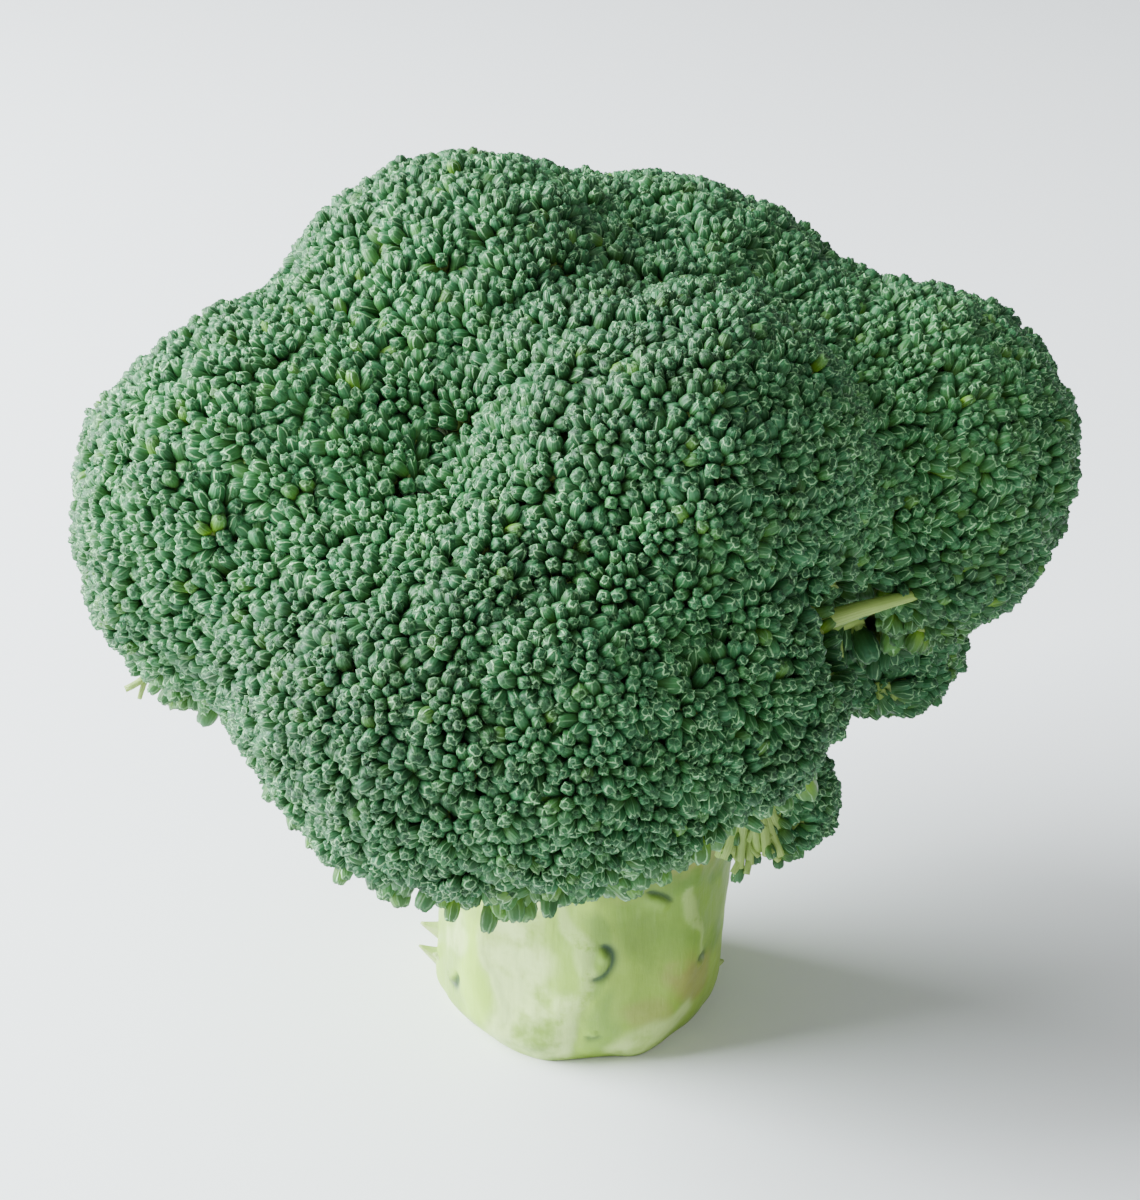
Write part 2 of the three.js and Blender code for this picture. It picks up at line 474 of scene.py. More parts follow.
    def edges(
        self, w: ShaderWriter, apart: object, half: object, along: object, place: object, chance: object
    ) -> object:
        """The pale edges of the outer sepals, and the faint ridges beside them.

        Args:
            w: The material's writer.
            apart: How far round the bud a point is from an inner sepal's middle.
            half: Half the width of the inner sepal there.
            along: The share of the bud's length.
            place: The place on the piece.
            chance: The bud's own chance share.

        Returns:
            How pale the point is, from 0 to 1.
        """
        thick = w.plus(self.edge_width, w.times(w.step(along, 0.5, 0.82), self.edge_growth))
        line = w.minus(1.0, w.step(w.gap(apart, half), 0.0, thick))
        line = w.times(line, w.step(along, 0.30, 0.62))
        line = w.times(line, w.step(w.speckle(place, 700.0), 0.25, 0.45))
        line = w.times(line, w.varied(chance, 5.7, 0.25, 0.85, 0.25))
        ridge = w.gap(w.gap(apart, self.ridge_place), self.ridge_spread)
        ridge = w.minus(1.0, w.step(ridge, 0.0, self.ridge_width))
        ridge = w.times(ridge, w.times(w.step(along, 0.45, 0.8), self.ridge_strength))
        return w.math("MAXIMUM", line, ridge)

    def collar(self, w: ShaderWriter, ragged: object, place: object, chance: object) -> object:
        """The broken pale loop round the throat, where the sepals' tips meet.

        Args:
            w: The material's writer.
            ragged: The share of the bud's length, with ragged steps.
            place: The place on the piece.
            chance: The bud's own chance share.

        Returns:
            How pale the point is, from 0 to 1.
        """
        collar = w.times(w.step(ragged, 0.77, 0.81), w.minus(1.0, w.step(ragged, 0.82, 0.86)))
        collar = w.times(collar, w.varied(chance, 9.3, 0.10, 0.80, 0.30))
        return w.times(collar, w.step(w.speckle(place, 620.0), 0.36, 0.60))


@dataclass(frozen=True)
class StemFinish:
    """The skin of the branches and the fine stems: pale, waxy and ribbed along its length."""

    name: str
    # painted shade: the stems are darkened by the Tint map's red where they lie under the buds and on the
    # branches
    painted_deep_shade: Colour = (0.040, 0.110, 0.015, 1)
    skin: Colour = (0.250, 0.380, 0.070, 1)
    pale: Colour = (0.400, 0.540, 0.135, 1)

    def material(self) -> bpy.types.Material:
        """Writes the material.

        Returns:
            The stems' material.
        """
        w = ShaderWriter(self.name)
        ribs = w.speckle(w.stretched(w.surface(), (26.0, 1.6, 1.0)), 1.0, 3.0, 0.6)
        cloud = w.speckle(w.place(), 130.0, 3.0, 0.6)
        colour = w.blend(w.step(ribs, 0.30, 0.72), self.skin, self.pale)
        colour = w.blend(w.times(w.step(cloud, 0.42, 0.72), 0.6), colour, self.skin)
        # painted shade, by the Tint map's red
        colour = w.blend(w.channels(Map.TINT)[0], colour, self.painted_deep_shade)
        return w.finish(colour, ribs, 0.15 * MM, Roughness=0.45, Specular_IOR_Level=0.4)


@dataclass(frozen=True)
class StalkFinish:
    """The peeled stalk: pale moist flesh where the knife went deep, greener skin elsewhere."""

    skin: Colour = (0.168, 0.280, 0.024, 1)
    light: Colour = (0.255, 0.395, 0.044, 1)
    flesh: Colour = (0.500, 0.650, 0.215, 1)
    flush: Colour = (0.350, 0.560, 0.045, 1)
    # green skin, also laid on as painted shade under the crown and on the right side
    green_skin_and_shade: Colour = (0.085, 0.200, 0.018, 1)
    # tan blush, also laid on as painted shade under the crown and on the right side
    tan: Colour = (0.300, 0.270, 0.070, 1)
    scar: Colour = (0.008, 0.045, 0.010, 1)
    # pale crest colour: pale fibre strands, and on the ridges a painted highlight
    crest_and_highlight: Colour = (0.500, 0.650, 0.230, 1)

    def material(self) -> bpy.types.Material:
        """Writes the material.

        Returns:
            The stalk's material.
        """
        w = ShaderWriter("stalk_skin")
        place = w.place()
        scar, bare, warm = w.channels(Map.MARK)
        green_skin_and_shade, tan, crest_and_highlight = w.channels(Map.STAIN)
        strands = w.speckle(w.stretched(place, (1.0, 1.0, 0.16)), 620.0, 3.0, 0.6)
        streaks = w.speckle(w.stretched(place, (1.0, 1.0, 0.45)), 120.0, 3.0, 0.55)
        cloud = w.speckle(place, 85.0, 4.0, 0.6)
        damp = w.speckle(place, 330.0, 4.0, 0.65)
        mottle = w.plus(cloud, w.times(damp, 0.30))
        colour = w.blend(w.step(streaks, 0.36, 0.66), self.skin, self.light)
        # the green and tan layers are partly painted shade, and the crest layer is partly a painted
        # highlight
        layers = (
            (w.times(warm, w.step(cloud, 0.26, 0.60)), self.flush),
            (w.times(green_skin_and_shade, w.step(streaks, 0.25, 0.60)), self.green_skin_and_shade),
            (w.times(tan, w.step(cloud, 0.36, 0.58)), self.tan),
            (w.times(bare, w.step(mottle, 0.42, 0.74), clamp=True), self.flesh),
            (w.times(w.step(strands, 0.52, 0.80), 0.10), self.crest_and_highlight),
            (w.times(w.step(damp, 0.58, 0.75), 0.16), self.skin),
            # painted highlight along the ridges between the flats
            (w.times(crest_and_highlight, w.step(damp, 0.30, 0.50)), self.crest_and_highlight),
            (w.times(scar, w.step(damp, 0.15, 0.45)), self.scar),
        )
        for share, layer in layers:
            colour = w.blend(share, colour, layer)
        relief = w.plus(w.plus(w.times(strands, 0.35), w.times(cloud, 0.9)), w.times(damp, 0.25))
        return w.finish(colour, relief, 0.35 * MM, Roughness=0.40, Specular_IOR_Level=0.45)


@dataclass(frozen=True)
class FloorFinish:
    """The pale matt floor."""

    colour: Colour = (0.90, 0.90, 0.90, 1)
    fleck: Colour = (1, 1, 1, 1)

    def material(self) -> bpy.types.Material:
        """Writes the material."""
        w = ShaderWriter("pale_floor")
        grain = w.speckle(w.place(), 60.0)
        colour = w.blend(w.times(grain, 0.02), self.colour, self.fleck)
        return w.finish(colour, grain, 0.02 * MM, Roughness=0.8)


# ------------------------------------------------------------------------------------------ basic shapes


def turn_beside(face: bmesh.types.BMFace, at: Vector) -> float:
    """The turn of a face's corner about +Z, on the face's own side of the seam.

    Args:
        face: The face.
        at: The corner's place. On the axis, the corner takes the turn of the face's middle.

    Returns:
        The turn as a share of a whole one.
    """
    middle = face.calc_center_median()
    heading = math.atan2(middle.y, middle.x)
    turn = math.atan2(at.y, at.x) if at.xy.length > ON_AXIS else heading
    return (heading + math.remainder(turn - heading, math.tau)) / math.tau


def upright_tube(sides: int, rings: int) -> bmesh.types.BMesh:
    """A closed tube along +Z from 0 to 1 with a radius of 1.

    Args:
        sides: How many sides it has.
        rings: How many rows of faces run up it.

    Returns:
        The tube.
    """
    bm = bmesh.new()
    bmesh.ops.create_cone(
        bm, cap_ends=True, cap_tris=False, segments=sides, radius1=1, radius2=1, depth=1,
        matrix=Matrix.Translation((0, 0, 0.5)),
    )
    upright = [e for e in bm.edges if abs(e.verts[0].co.z - e.verts[1].co.z) > 0.5]
    bmesh.ops.subdivide_edges(bm, edges=upright, cuts=rings - 1, use_grid_fill=True)
    return bm


@dataclass
class BudShape:
    """One closed bud, with its tip at the origin and its foot one unit below, half a unit in radius.

    Four sepals press together into a squarish barrel that closes at a blunt, slightly lobed tip.
    """

    sides: int = 8
    outline: tuple[tuple[float, float], ...] = (
        (0.00, -1.00), (0.24, -0.95), (0.44, -0.72), (0.50, -0.42), (0.46, -0.18), (0.33, -0.04),
        (0.16, 0.00), (0.00, -0.03),
    )
    squareness: float = 0.06
    points: float = 0.045
    plump: float = 1.0
    tip_depth: float = 0.05  # how much of the tip is lobed

    def mesh(self, name: str) -> bpy.types.Mesh:
        """Spins the outline and shapes the sepals.

        Args:
            name: The mesh's name.

        Returns:
            The bud, with its surface map.
        """
        bm = bmesh.new()
        rim = [bm.verts.new((radius * self.plump, 0, height)) for radius, height in self.outline]
        edges = [bm.edges.new(pair) for pair in zip(rim, rim[1:])]
        bmesh.ops.spin(
            bm, geom=rim + edges, cent=(0, 0, 0), axis=(0, 0, 1), dvec=(0, 0, 0),
            angle=math.tau, steps=self.sides, use_merge=True,
        )
        bmesh.ops.remove_doubles(bm, verts=bm.verts[:], dist=ON_AXIS)
        bmesh.ops.recalc_face_normals(bm, faces=bm.faces[:])
        layer = bm.loops.layers.uv.new(Map.SURFACE.value)
        reach = self.lengths()
        for face in bm.faces:
            for loop in face.loops:
                at = loop.vert.co
                loop[layer].uv = (turn_beside(face, at), self.share_along(at, reach))
        for vert in bm.verts:
            lobe = math.cos(4 * math.atan2(vert.co.y, vert.co.x))
            vert.co.x *= 1 + self.squareness * lobe
            vert.co.y *= 1 + self.squareness * lobe
            if vert.co.z > -self.tip_depth:
                vert.co.z += self.points * lobe
        return mesh_from(bm, name)

    def lengths(self) -> list[float]:
        """How far along the outline each of its points lies, from 0 at the foot to 1 at the throat."""
        steps = [math.dist(a, b) for a, b in zip(self.outline, self.outline[1:])]
        total = [sum(steps[:i]) for i in range(len(steps) + 1)]
        return [part / total[-1] for part in total]

    def share_along(self, at: Vector, reach: list[float]) -> float:
        """The share of the outline's length at the outline's point nearest to a vertex."""
        radius = at.xy.length / self.plump
        gaps = [math.dist((radius, at.z), point) for point in self.outline]
        return reach[gaps.index(min(gaps))]


@dataclass
class TubeShape:
    """A tube along +Z from 0 to 1 with a radius of 1, closed at both ends, to be bent along a line."""

    sides: int
    rings: int

    def mesh(self, name: str) -> bpy.types.Mesh:
        """Makes the tube.

        Args:
            name: The mesh's name.

        Returns:
            The tube, with its surface map.
        """
        bm = upright_tube(self.sides, self.rings)
        layer = bm.loops.layers.uv.new(Map.SURFACE.value)
        for face in bm.faces:
            for loop in face.loops:
                loop[layer].uv = (turn_beside(face, loop.vert.co), loop.vert.co.z)
        return mesh_from(bm, name)


@dataclass
class Limb:
    """One stem: a bowed line with a radius at each end and a swelling towards its end."""

    start: Vector
    bend: Vector
    end: Vector
    root: float
    tip: float
    flare: float = 0.0
    ribs: int = 0
    rib_depth: float = 0.0
    tint: tuple[float, float, float] = (0.0, 0.5, 0.5)

    def bent(self, tube: bpy.types.Mesh) -> bpy.types.Mesh:
        """Bends a copy of a straight tube along this stem.

        Args:
            tube: The straight tube.

        Returns:
            The stem's own mesh.
        """
        mesh = tube.copy()
        places = coordinates(mesh)
        t = places[:, 2:3].astype(float)
        start, bend, end = (np.array(p) for p in (self.start, self.bend, self.end))
        line = start * (1 - t) ** 2 + bend * 2 * t * (1 - t) + end * t**2
        along = (bend - start) * 2 * (1 - t) + (end - bend) * 2 * t
        along /= np.linalg.norm(along, axis=1, keepdims=True) + 1e-12
        whole = end - start
        across_x = abs(whole[0]) < 0.8 * np.linalg.norm(whole)
        side = np.cross(along, np.array((1.0, 0, 0) if across_x else (0, 1.0, 0)))
        side /= np.linalg.norm(side, axis=1, keepdims=True)
        other = np.cross(along, side)
        radius = self.root + (self.tip - self.root) * t + self.flare * t**6
        if self.ribs:
            turn = np.arctan2(places[:, 1:2], places[:, 0:1])
            radius = radius * (1 + self.rib_depth * np.cos(self.ribs * turn + 2.0 * t))
        bent = line + side * places[:, 0:1] * radius + other * places[:, 1:2] * radius
        move_to(mesh, bent)
        paint(mesh, Map.TINT, self.tint)
        return mesh


def gather(limbs: list[Limb], tube: TubeShape, name: str) -> bmesh.types.BMesh:
    """Bends one tube along each of many stems and gathers them.

    Args:
        limbs: The stems.
        tube: The tube that each is made from.
        name: A name for the straight tube's mesh.

    Returns:
        All the stems in one bmesh.
    """
    straight = tube.mesh(name)
    whole = bmesh.new()
    for limb in limbs:
        absorb(whole, limb.bent(straight))
    bpy.data.meshes.remove(straight)
    bmesh.ops.recalc_face_normals(whole, faces=whole.faces[:])
    return whole


# ----------------------------------------------------------------------------------------- crown surface


@dataclass
class FloretSite:
    """Where one floret stands: the end of its branch, its axis and the branch's radius there."""

    name: str
    neck: Vector
    axis: Vector
    radius: float

    @classmethod
    def of(cls, name: str) -> "FloretSite":
        """Reads a floret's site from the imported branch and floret.

        Args:
            name: The floret's name.

        Returns:
            Its site.
        """
        dome = coordinates(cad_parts[f"floret_{name}"].data).mean(axis=0)
        branch = coordinates(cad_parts[f"branch_{name}"].data)
        axis = dome - branch.mean(axis=0)
        axis /= np.linalg.norm(axis)
        reach = branch @ axis
        end = branch[reach > reach.max() - 0.4 * MM]
        neck = end.mean(axis=0)
        radius = np.linalg.norm(end - neck, axis=1).max()
        return cls(name, Vector(neck), Vector(axis), float(radius))


@dataclass
class CrownSurface:
    """The skin that the bud tips reach: the florets' solids joined, with the creases between them eased."""

    sites: list[FloretSite]
    voxel: float = 2.6 * MM
    swell: float = 2.8 * MM  # how far the solids grow before they join, so that narrow creases close
    pull_back: float = 2.3 * MM
    smooth_rounds: int = 3
    normal_rounds: int = 6  # how many rounds pass before the outward directions are read again
    ease_rounds: int = 70
    ease_rate: float = 0.5
    rim: float = 108.0  # how far from its axis a floret carries buds
    deep_rims: dict[str, float] = field(default_factory=lambda: {"right": 128.0, "right_low": 158.0})
    openness: float = 0.07  # the share of open directions that buds need
    hidden: dict[str, float] = field(default_factory=lambda: {"right_low": 0.015})
    rays: int = 24
    ray_length: float = 60 * MM
    places: np.ndarray = field(init=False)
    normals: np.ndarray = field(init=False)
    triangles: np.ndarray = field(init=False)
    owner: np.ndarray = field(init=False)
    cover: np.ndarray = field(init=False)
    lean: np.ndarray = field(init=False)  # degrees past the rim of the owner
    tree: BVHTree = field(init=False)

    def __post_init__(self) -> None:
        """Builds the surface and finds which floret owns each part of it."""
        mesh = self.joined()
        self.ease(mesh)
        mesh.calc_loop_triangles()
        self.places = coordinates(mesh).astype(float)
        self.normals = np.array([v.normal for v in mesh.vertices])
        self.triangles = np.array([t.vertices for t in mesh.loop_triangles])
        self.tree = BVHTree.FromPolygons(self.places.tolist(), self.triangles.tolist())
        bpy.data.meshes.remove(mesh)
        self.owner = self.owners()
        axes = np.array([site.axis for site in self.sites])[self.owner]
        rims = np.array([self.deep_rims.get(site.name, self.rim) for site in self.sites])[self.owner]
        self.lean = np.degrees(np.arccos(np.clip(np.einsum("ij,ij->i", self.normals, axes), -1, 1))) - rims
        needed = np.array([self.hidden.get(site.name, self.openness) for site in self.sites])
        self.cover = (self.lean < 0) & (self.open_share() > needed[self.owner])

    def joined(self) -> bpy.types.Mesh:
        """Joins the florets' solids, swelled so that they overlap.

        Returns:
            One skin over them all.
        """
        whole = bmesh.new()
        for site in self.sites:
            bm = bmesh.new()
            bm.from_mesh(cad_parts[f"floret_{site.name}"].data)
            bmesh.ops.remove_doubles(bm, verts=bm.verts[:], dist=0.001 * MM)
            bm.normal_update()
            for vert in bm.verts:
                vert.co += vert.normal * self.swell
            absorb(whole, mesh_from(bm, "swelled"))
        skin = linked("crown_guide", mesh_from(whole, "crown_guide"))
        remesh = skin.modifiers.new("remesh", "REMESH")
        remesh.mode = "VOXEL"
        remesh.voxel_size = self.voxel
        evaluated = skin.evaluated_get(bpy.context.evaluated_depsgraph_get())
        mesh = bpy.data.meshes.new_from_object(evaluated)
        bpy.data.objects.remove(skin)
        return mesh

    def ease(self, mesh: bpy.types.Mesh) -> None:
        """Fills the creases: each round moves a vertex outwards where its neighbours stand further out.

        Args:
            mesh: The joined skin, which is changed.
        """
        edges = np.array([e.vertices for e in mesh.edges])
        places = coordinates(mesh).astype(float)
        count = np.bincount(edges.ravel(), minlength=len(places))[:, None]
        for turn in range(self.smooth_rounds + self.ease_rounds):
            total = np.zeros_like(places)
            np.add.at(total, edges[:, 0], places[edges[:, 1]])
            np.add.at(total, edges[:, 1], places[edges[:, 0]])
            pull = total / count - places
            if turn < self.smooth_rounds:
                places += pull * self.ease_rate
            else:
                if (turn - self.smooth_rounds) % self.normal_rounds == 0:
                    normals = np.array([v.normal for v in mesh.vertices])
                outwards = np.maximum(0, np.einsum("ij,ij->i", pull, normals))[:, None]
                places += normals * outwards * self.ease_rate
            move_to(mesh, places)
        places -= np.array([v.normal for v in mesh.vertices]) * self.pull_back
        move_to(mesh, places)

    def owners(self) -> np.ndarray:
        """Finds the floret that each vertex belongs to.

        Returns:
            The number of the floret whose solid is nearest to each vertex.
        """
        corners: list[Vector] = []
        faces: list[tuple[int, ...]] = []
        owner: list[int] = []
        for number, site in enumerate(self.sites):
            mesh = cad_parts[f"floret_{site.name}"].data
            faces += [tuple(i + len(corners) for i in p.vertices) for p in mesh.polygons]
            owner += [number] * len(mesh.polygons)
            corners += [v.co.copy() for v in mesh.vertices]
        tree = BVHTree.FromPolygons(corners, faces)
        return np.array([owner[tree.find_nearest(Vector(p))[2]] for p in self.places])

    def open_share(self) -> np.ndarray:
        """Looks out from each vertex.

        Returns:
            The share of the directions above each vertex that leave the crown without meeting it.
        """
        found = np.zeros(len(self.places))
        for ray in range(self.rays):
            height = 1 - 0.95 * (ray + 0.5) / self.rays
            ring = math.sqrt(1 - height * height)
            turn = ray * GOLDEN_ANGLE
            local = Vector((ring * math.cos(turn), ring * math.sin(turn), height))
            for i, (place, normal) in enumerate(zip(self.places, self.normals)):
                up = Vector(normal)
                way = turn_to(up) @ local
                start = Vector(place) + up * MM
                found[i] += self.tree.ray_cast(start, way, self.ray_length)[0] is None
        return found / self.rays

    def scatter(self, spacing: float, rng: np.random.Generator) -> tuple[np.ndarray, np.ndarray]:
        """Places points evenly at random over the part that carries buds.

        Args:
            spacing: The mean distance between points.
            rng: The source of chance.

        Returns:
            The points, and the triangle that each lies in.
        """
        corners = self.places[self.triangles]
        sides = corners[:, 1:] - corners[:, :1]
        area = np.linalg.norm(np.cross(sides[:, 0], sides[:, 1]), axis=1) / 2
        area = area * self.cover[self.triangles].all(axis=1)
        count = int(area.sum() / spacing**2)
        chosen = rng.choice(len(area), size=count, p=area / area.sum())
        share = rng.random((count, 2))
        root = np.sqrt(share[:, :1])
        weights = np.concatenate([1 - root, root * (1 - share[:, 1:]), root * share[:, 1:]], axis=1)
        return np.einsum("ij,ijk->ik", weights, corners[chosen]), chosen

    def normal_at(self, triangle: int) -> Vector:
        """The smooth outward direction at a triangle."""
        return Vector(self.normals[self.triangles[triangle]].sum(axis=0)).normalized()

    def covered(self, triangle: int) -> bool:
        """Whether buds grow on a triangle."""
        return bool(self.cover[self.triangles[triangle]].all())


# ------------------------------------------------------------------------------------------------- buds


@dataclass
class Cluster:
    """A small domed head of buds that share one branchlet."""

    centre: Vector
    normal: Vector
    owner: int

    def hub(self, depth: float) -> Vector:
        """Where the buds' stems meet under the cluster."""
        return self.centre - self.normal * depth


@dataclass
class Bud:
    """One bud: where its tip is, which way it points and how big it is."""

    tip: Vector
    axis: Vector
    width: float
    length: float
    cluster: int
    yellowness: float
    brightness: float

    @property
    def foot(self) -> Vector:
        """Where the bud's stem begins."""
        return self.tip - self.axis * self.length


@dataclass
class Region:
    """A soft region of the crown whose buds are painted lighter or darker, as painted light and painted
    shade, and whose own yellowness may also differ.
    """

    place: Vector
    reach: float
    # painted light where above zero, painted shade where below
    painted_light: float
    yellower: float = 0.0

    def share(self, spot: Vector) -> float:
        """How much of the region's change applies at a place."""
        return 1 - smoothstep(0.35, 1.25, (spot - self.place).length / self.reach)


@dataclass
class BudField:
    """All the buds of the crown, packed side by side over its surface."""

    surface: CrownSurface
    cluster_spacing: float = 7.4 * MM
    inner_spacing: float = 1.32 * MM
    outer_spacing: float = 2.10 * MM
    curve: float = 8.0 * MM  # radius of a cluster's own dome
    tilt: float = 0.20  # chance lean of a bud in radians
    growth: float = 0.65  # how far a bud turns from square on the crown to the way that the head grows
    painted_light_regions: tuple[Region, ...] = (
        # painted light and painted shade: each region lightens or darkens the buds where the crown is lit
        # or shaded; a fourth number changes the buds' own yellowness
        Region(mm(-27, -22, 112), 28 * MM, 0.50), Region(mm(-2, -24, 119), 27 * MM, -0.50),
        Region(mm(-32, -58, 82), 24 * MM, -0.42), Region(mm(-13, -53, 99), 15 * MM, -0.16),
        Region(mm(-58, -25, 102), 20 * MM, 0.20), Region(mm(16, -54, 82), 18 * MM, 0.36),
        Region(mm(54, -9, 103), 28 * MM, 0.28, 0.04), Region(mm(40, -20, 105), 18 * MM, 0.16),
        Region(mm(55, -12, 73), 16 * MM, -0.30), Region(mm(28, -46, 70), 11 * MM, -0.25),
        Region(mm(44, 4, 56), 13 * MM, -0.20, -0.60), Region(mm(56, -3, 62), 9 * MM, 0.20, 0.25),
    )
    bites: tuple[tuple[Vector, float], ...] = (
        (mm(36.8, -34.5, 81.6), 8.0 * MM), (mm(38.0, -26, 79), 6.0 * MM),
    )  # the middles and radii of places where buds are lost
    lean_spread: float = 0.10
    plumpness: tuple[float, float] = (1.08, 1.30)  # a bud's width, as a share of the room that it has
    slenderness: tuple[float, float] = (1.45, 2.1)  # its length, as a share of its width
    rise: float = 0.7 * MM  # how far the tips stand past the crown's skin
    dome: float = 0.6  # how much of a cluster's own dome shows
    wave_reach: float = 14 * MM
    wave_height: float = 1.2 * MM
    shade_reach: float = 9 * MM
    ripe: float = 0.035  # the share of buds that have turned yellow
    rim_ripe: float = 0.06
    rim_looseness: float = 0.9  # how much larger and more scattered the buds hang at a floret's rim
    rim_tilt: float = 0.16
    rim_growth: float = 0.14
    rim_yellow: float = 0.50
    droop: float = 0.85  # how far the rim's buds turn down
    gaps: float = 0.28  # the share of the rim's buds that are missing
    push_rounds: int = 10
    rim_width: float = 26.0  # degrees
    narrowest: float = 1.3 * MM
    widest: float = 3.1 * MM
    clusters: list[Cluster] = field(default_factory=list)
    buds: list[Bud] = field(default_factory=list)

    def __post_init__(self) -> None:
        """Places the clusters and then their buds."""
        rng = np.random.default_rng(SEED)
        chance = random.Random(SEED)
        self.place_clusters(rng)
        places, owners = self.spirals(chance)
        places, owners, widths = self.pressed(places, owners)
        self.grow(places, owners, widths, chance)
        LOG.info("crown: %d clusters, %d buds", len(self.clusters), len(self.buds))

    def place_clusters(self, rng: np.random.Generator) -> None:
        """Puts the clusters' centres about one spacing apart.

        Args:
            rng: The source of chance.
        """
        points, triangles = self.surface.scatter(1.0 * MM, rng)
        waiting = np.ones(len(points), dtype=bool)
        for i in range(len(points)):
            if not waiting[i]:
                continue
            space = self.cluster_spacing * rng.uniform(0.78, 1.12)
            waiting &= np.linalg.norm(points - points[i], axis=1) > space
            triangle = int(triangles[i])
            owner = int(self.surface.owner[self.surface.triangles[triangle][0]])
            self.clusters.append(Cluster(Vector(points[i]), self.surface.normal_at(triangle), owner))

    def spirals(self, chance: random.Random) -> tuple[np.ndarray, np.ndarray]:
        """Winds a spiral of buds out from each cluster's centre until it meets the next cluster.

        Args:
            chance: The source of chance.

        Returns:
            The buds' places and their clusters.
        """
        near = nearest_among([cluster.centre for cluster in self.clusters])
        places: list[Vector] = []
        owners: list[int] = []
        for number, cluster in enumerate(self.clusters):
            turn = turn_to(cluster.normal)
            rim = self.rim_share(self.surface.tree.find_nearest(cluster.centre)[2])
            angle = chance.uniform(0, math.tau)
            out = 0.3 * self.inner_spacing
            while out < 1.3 * self.cluster_spacing:
                share = min(1.0, out / (0.5 * self.cluster_spacing))
                space = mixed(self.inner_spacing, self.outer_spacing, share) * (1 + 0.22 * rim)
                flat = spoke(angle) * out
                place, _, triangle, _ = self.surface.tree.find_nearest(cluster.centre + turn @ flat)
                if near.find(place)[1] == number and self.surface.covered(triangle):
                    places.append(place)
                    owners.append(number)
                out = math.sqrt(out * out + space * space * HEXAGONAL_SHARE / math.pi)
                angle += GOLDEN_ANGLE
        return np.array(places), np.array(owners)

    def pressed(self, places: np.ndarray, owners: np.ndarray) -> tuple[np.ndarray, np.ndarray, np.ndarray]:
        """Pushes crowded buds apart over the surface, and drops those with no room.

        Args:
            places: The buds' places.
            owners: Their clusters.

        Returns:
            The places, clusters and widths of the buds that stay.
        """
        centres = np.array([cluster.centre for cluster in self.clusters])
        out = np.linalg.norm(places - centres[owners], axis=1)
        share = np.minimum(1, out / (0.5 * self.cluster_spacing))
        widths = self.inner_spacing + (self.outer_spacing - self.inner_spacing) * share
        pairs = self.pairs(places, 1.7 * self.outer_spacing)
        for _ in range(self.push_rounds):
            apart = places[pairs[:, 1]] - places[pairs[:, 0]]
            gap = np.linalg.norm(apart, axis=1)
            wanted = 0.5 * (widths[pairs[:, 0]] + widths[pairs[:, 1]])
            push = np.maximum(0, wanted - gap) * 0.3
            shift = apart / (gap[:, None] + 1e-9) * push[:, None]
            np.add.at(places, pairs[:, 0], -shift)
            np.add.at(places, pairs[:, 1], shift)
            for i, place in enumerate(places):
                places[i] = self.surface.tree.find_nearest(Vector(place))[0]
        gap = np.linalg.norm(places[pairs[:, 1]] - places[pairs[:, 0]], axis=1)
        wanted = 0.5 * (widths[pairs[:, 0]] + widths[pairs[:, 1]])
        keep = np.ones(len(places), dtype=bool)
        for first, second in pairs[gap < 0.66 * wanted]:
            if keep[first] and keep[second]:
                keep[first if widths[first] < widths[second] else second] = False
        places, owners = places[keep], owners[keep]
        return places, owners, self.room(places)

    def pairs(self, places: np.ndarray, reach: float) -> np.ndarray:
        """Every pair of places that lie within reach of each other."""
        near = nearest_among(places)
        found = [(i, j) for i, p in enumerate(places) for _, j, _ in near.find_range(p, reach) if j > i]
        return np.array(found)

    def room(self, places: np.ndarray) -> np.ndarray:
        """The width that each bud can have without pressing into its neighbours."""
        near = nearest_among(places)
        gaps = [sorted(gap for _, _, gap in near.find_n(place, 6))[1:] for place in places]
        return np.clip([sum(gap) / len(gap) for gap in gaps], self.narrowest, self.widest)

    def grow(
        self, places: np.ndarray, owners: np.ndarray, widths: np.ndarray, chance: random.Random
    ) -> None:
        """Turns each place into a bud that leans out from its cluster's centre.

        Args:
            places: The buds' places.
            owners: Their clusters.
            widths: The width that each has room for.
            chance: The source of chance.
        """
        fork = Vector((0, 0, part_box("stalk")[1].z))
        for place, owner, width in zip(places, owners, widths):
            cluster = self.clusters[owner]
            spot = Vector(place)
            if any((spot - centre).length < reach for centre, reach in self.bites):
                continue
            _, _, triangle, _ = self.surface.tree.find_nearest(spot)
            normal = self.surface.normal_at(triangle)
            out = spot - cluster.centre
            out -= normal * out.dot(normal)
            away = out.length
            rim = self.rim_share(triangle)
            loose = rim * self.rim_looseness
            lean = away / self.curve + chance.gauss(0, self.lean_spread)
            axis = normal.lerp((spot - fork).normalized(), self.growth * (1 - rim)) * math.cos(lean)
            if away > AT_CENTRE:
                axis += out.normalized() * math.sin(lean)
            axis += Vector([chance.gauss(0, self.tilt + self.rim_tilt * loose) for _ in range(3)])
            axis.z -= self.droop * rim
            axis.normalize()
            drop = self.curve * (1 - math.cos(min(1.0, away / self.curve)))
            wave = noise.noise(spot / self.wave_reach) * self.wave_height
            plump = width * chance.uniform(*self.plumpness) * (1 + self.rim_growth * loose)
            length = plump * chance.uniform(*self.slenderness)
            lift = self.rise - self.dome * drop + wave - 0.5 * length
            lift += chance.gauss(0.7 * MM * loose, (0.28 + 1.1 * loose) * MM)
            yellow = max(0.0, chance.gauss(0.03, 0.05)) + self.rim_yellow * rim * chance.uniform(0.2, 1.3)
            if chance.random() < self.ripe + self.rim_ripe * rim:
                yellow += chance.uniform(0.15, 0.55)
            bright_with_painted_light = chance.gauss(0.5, 0.16) + 0.2 * noise.noise(spot / self.shade_reach)
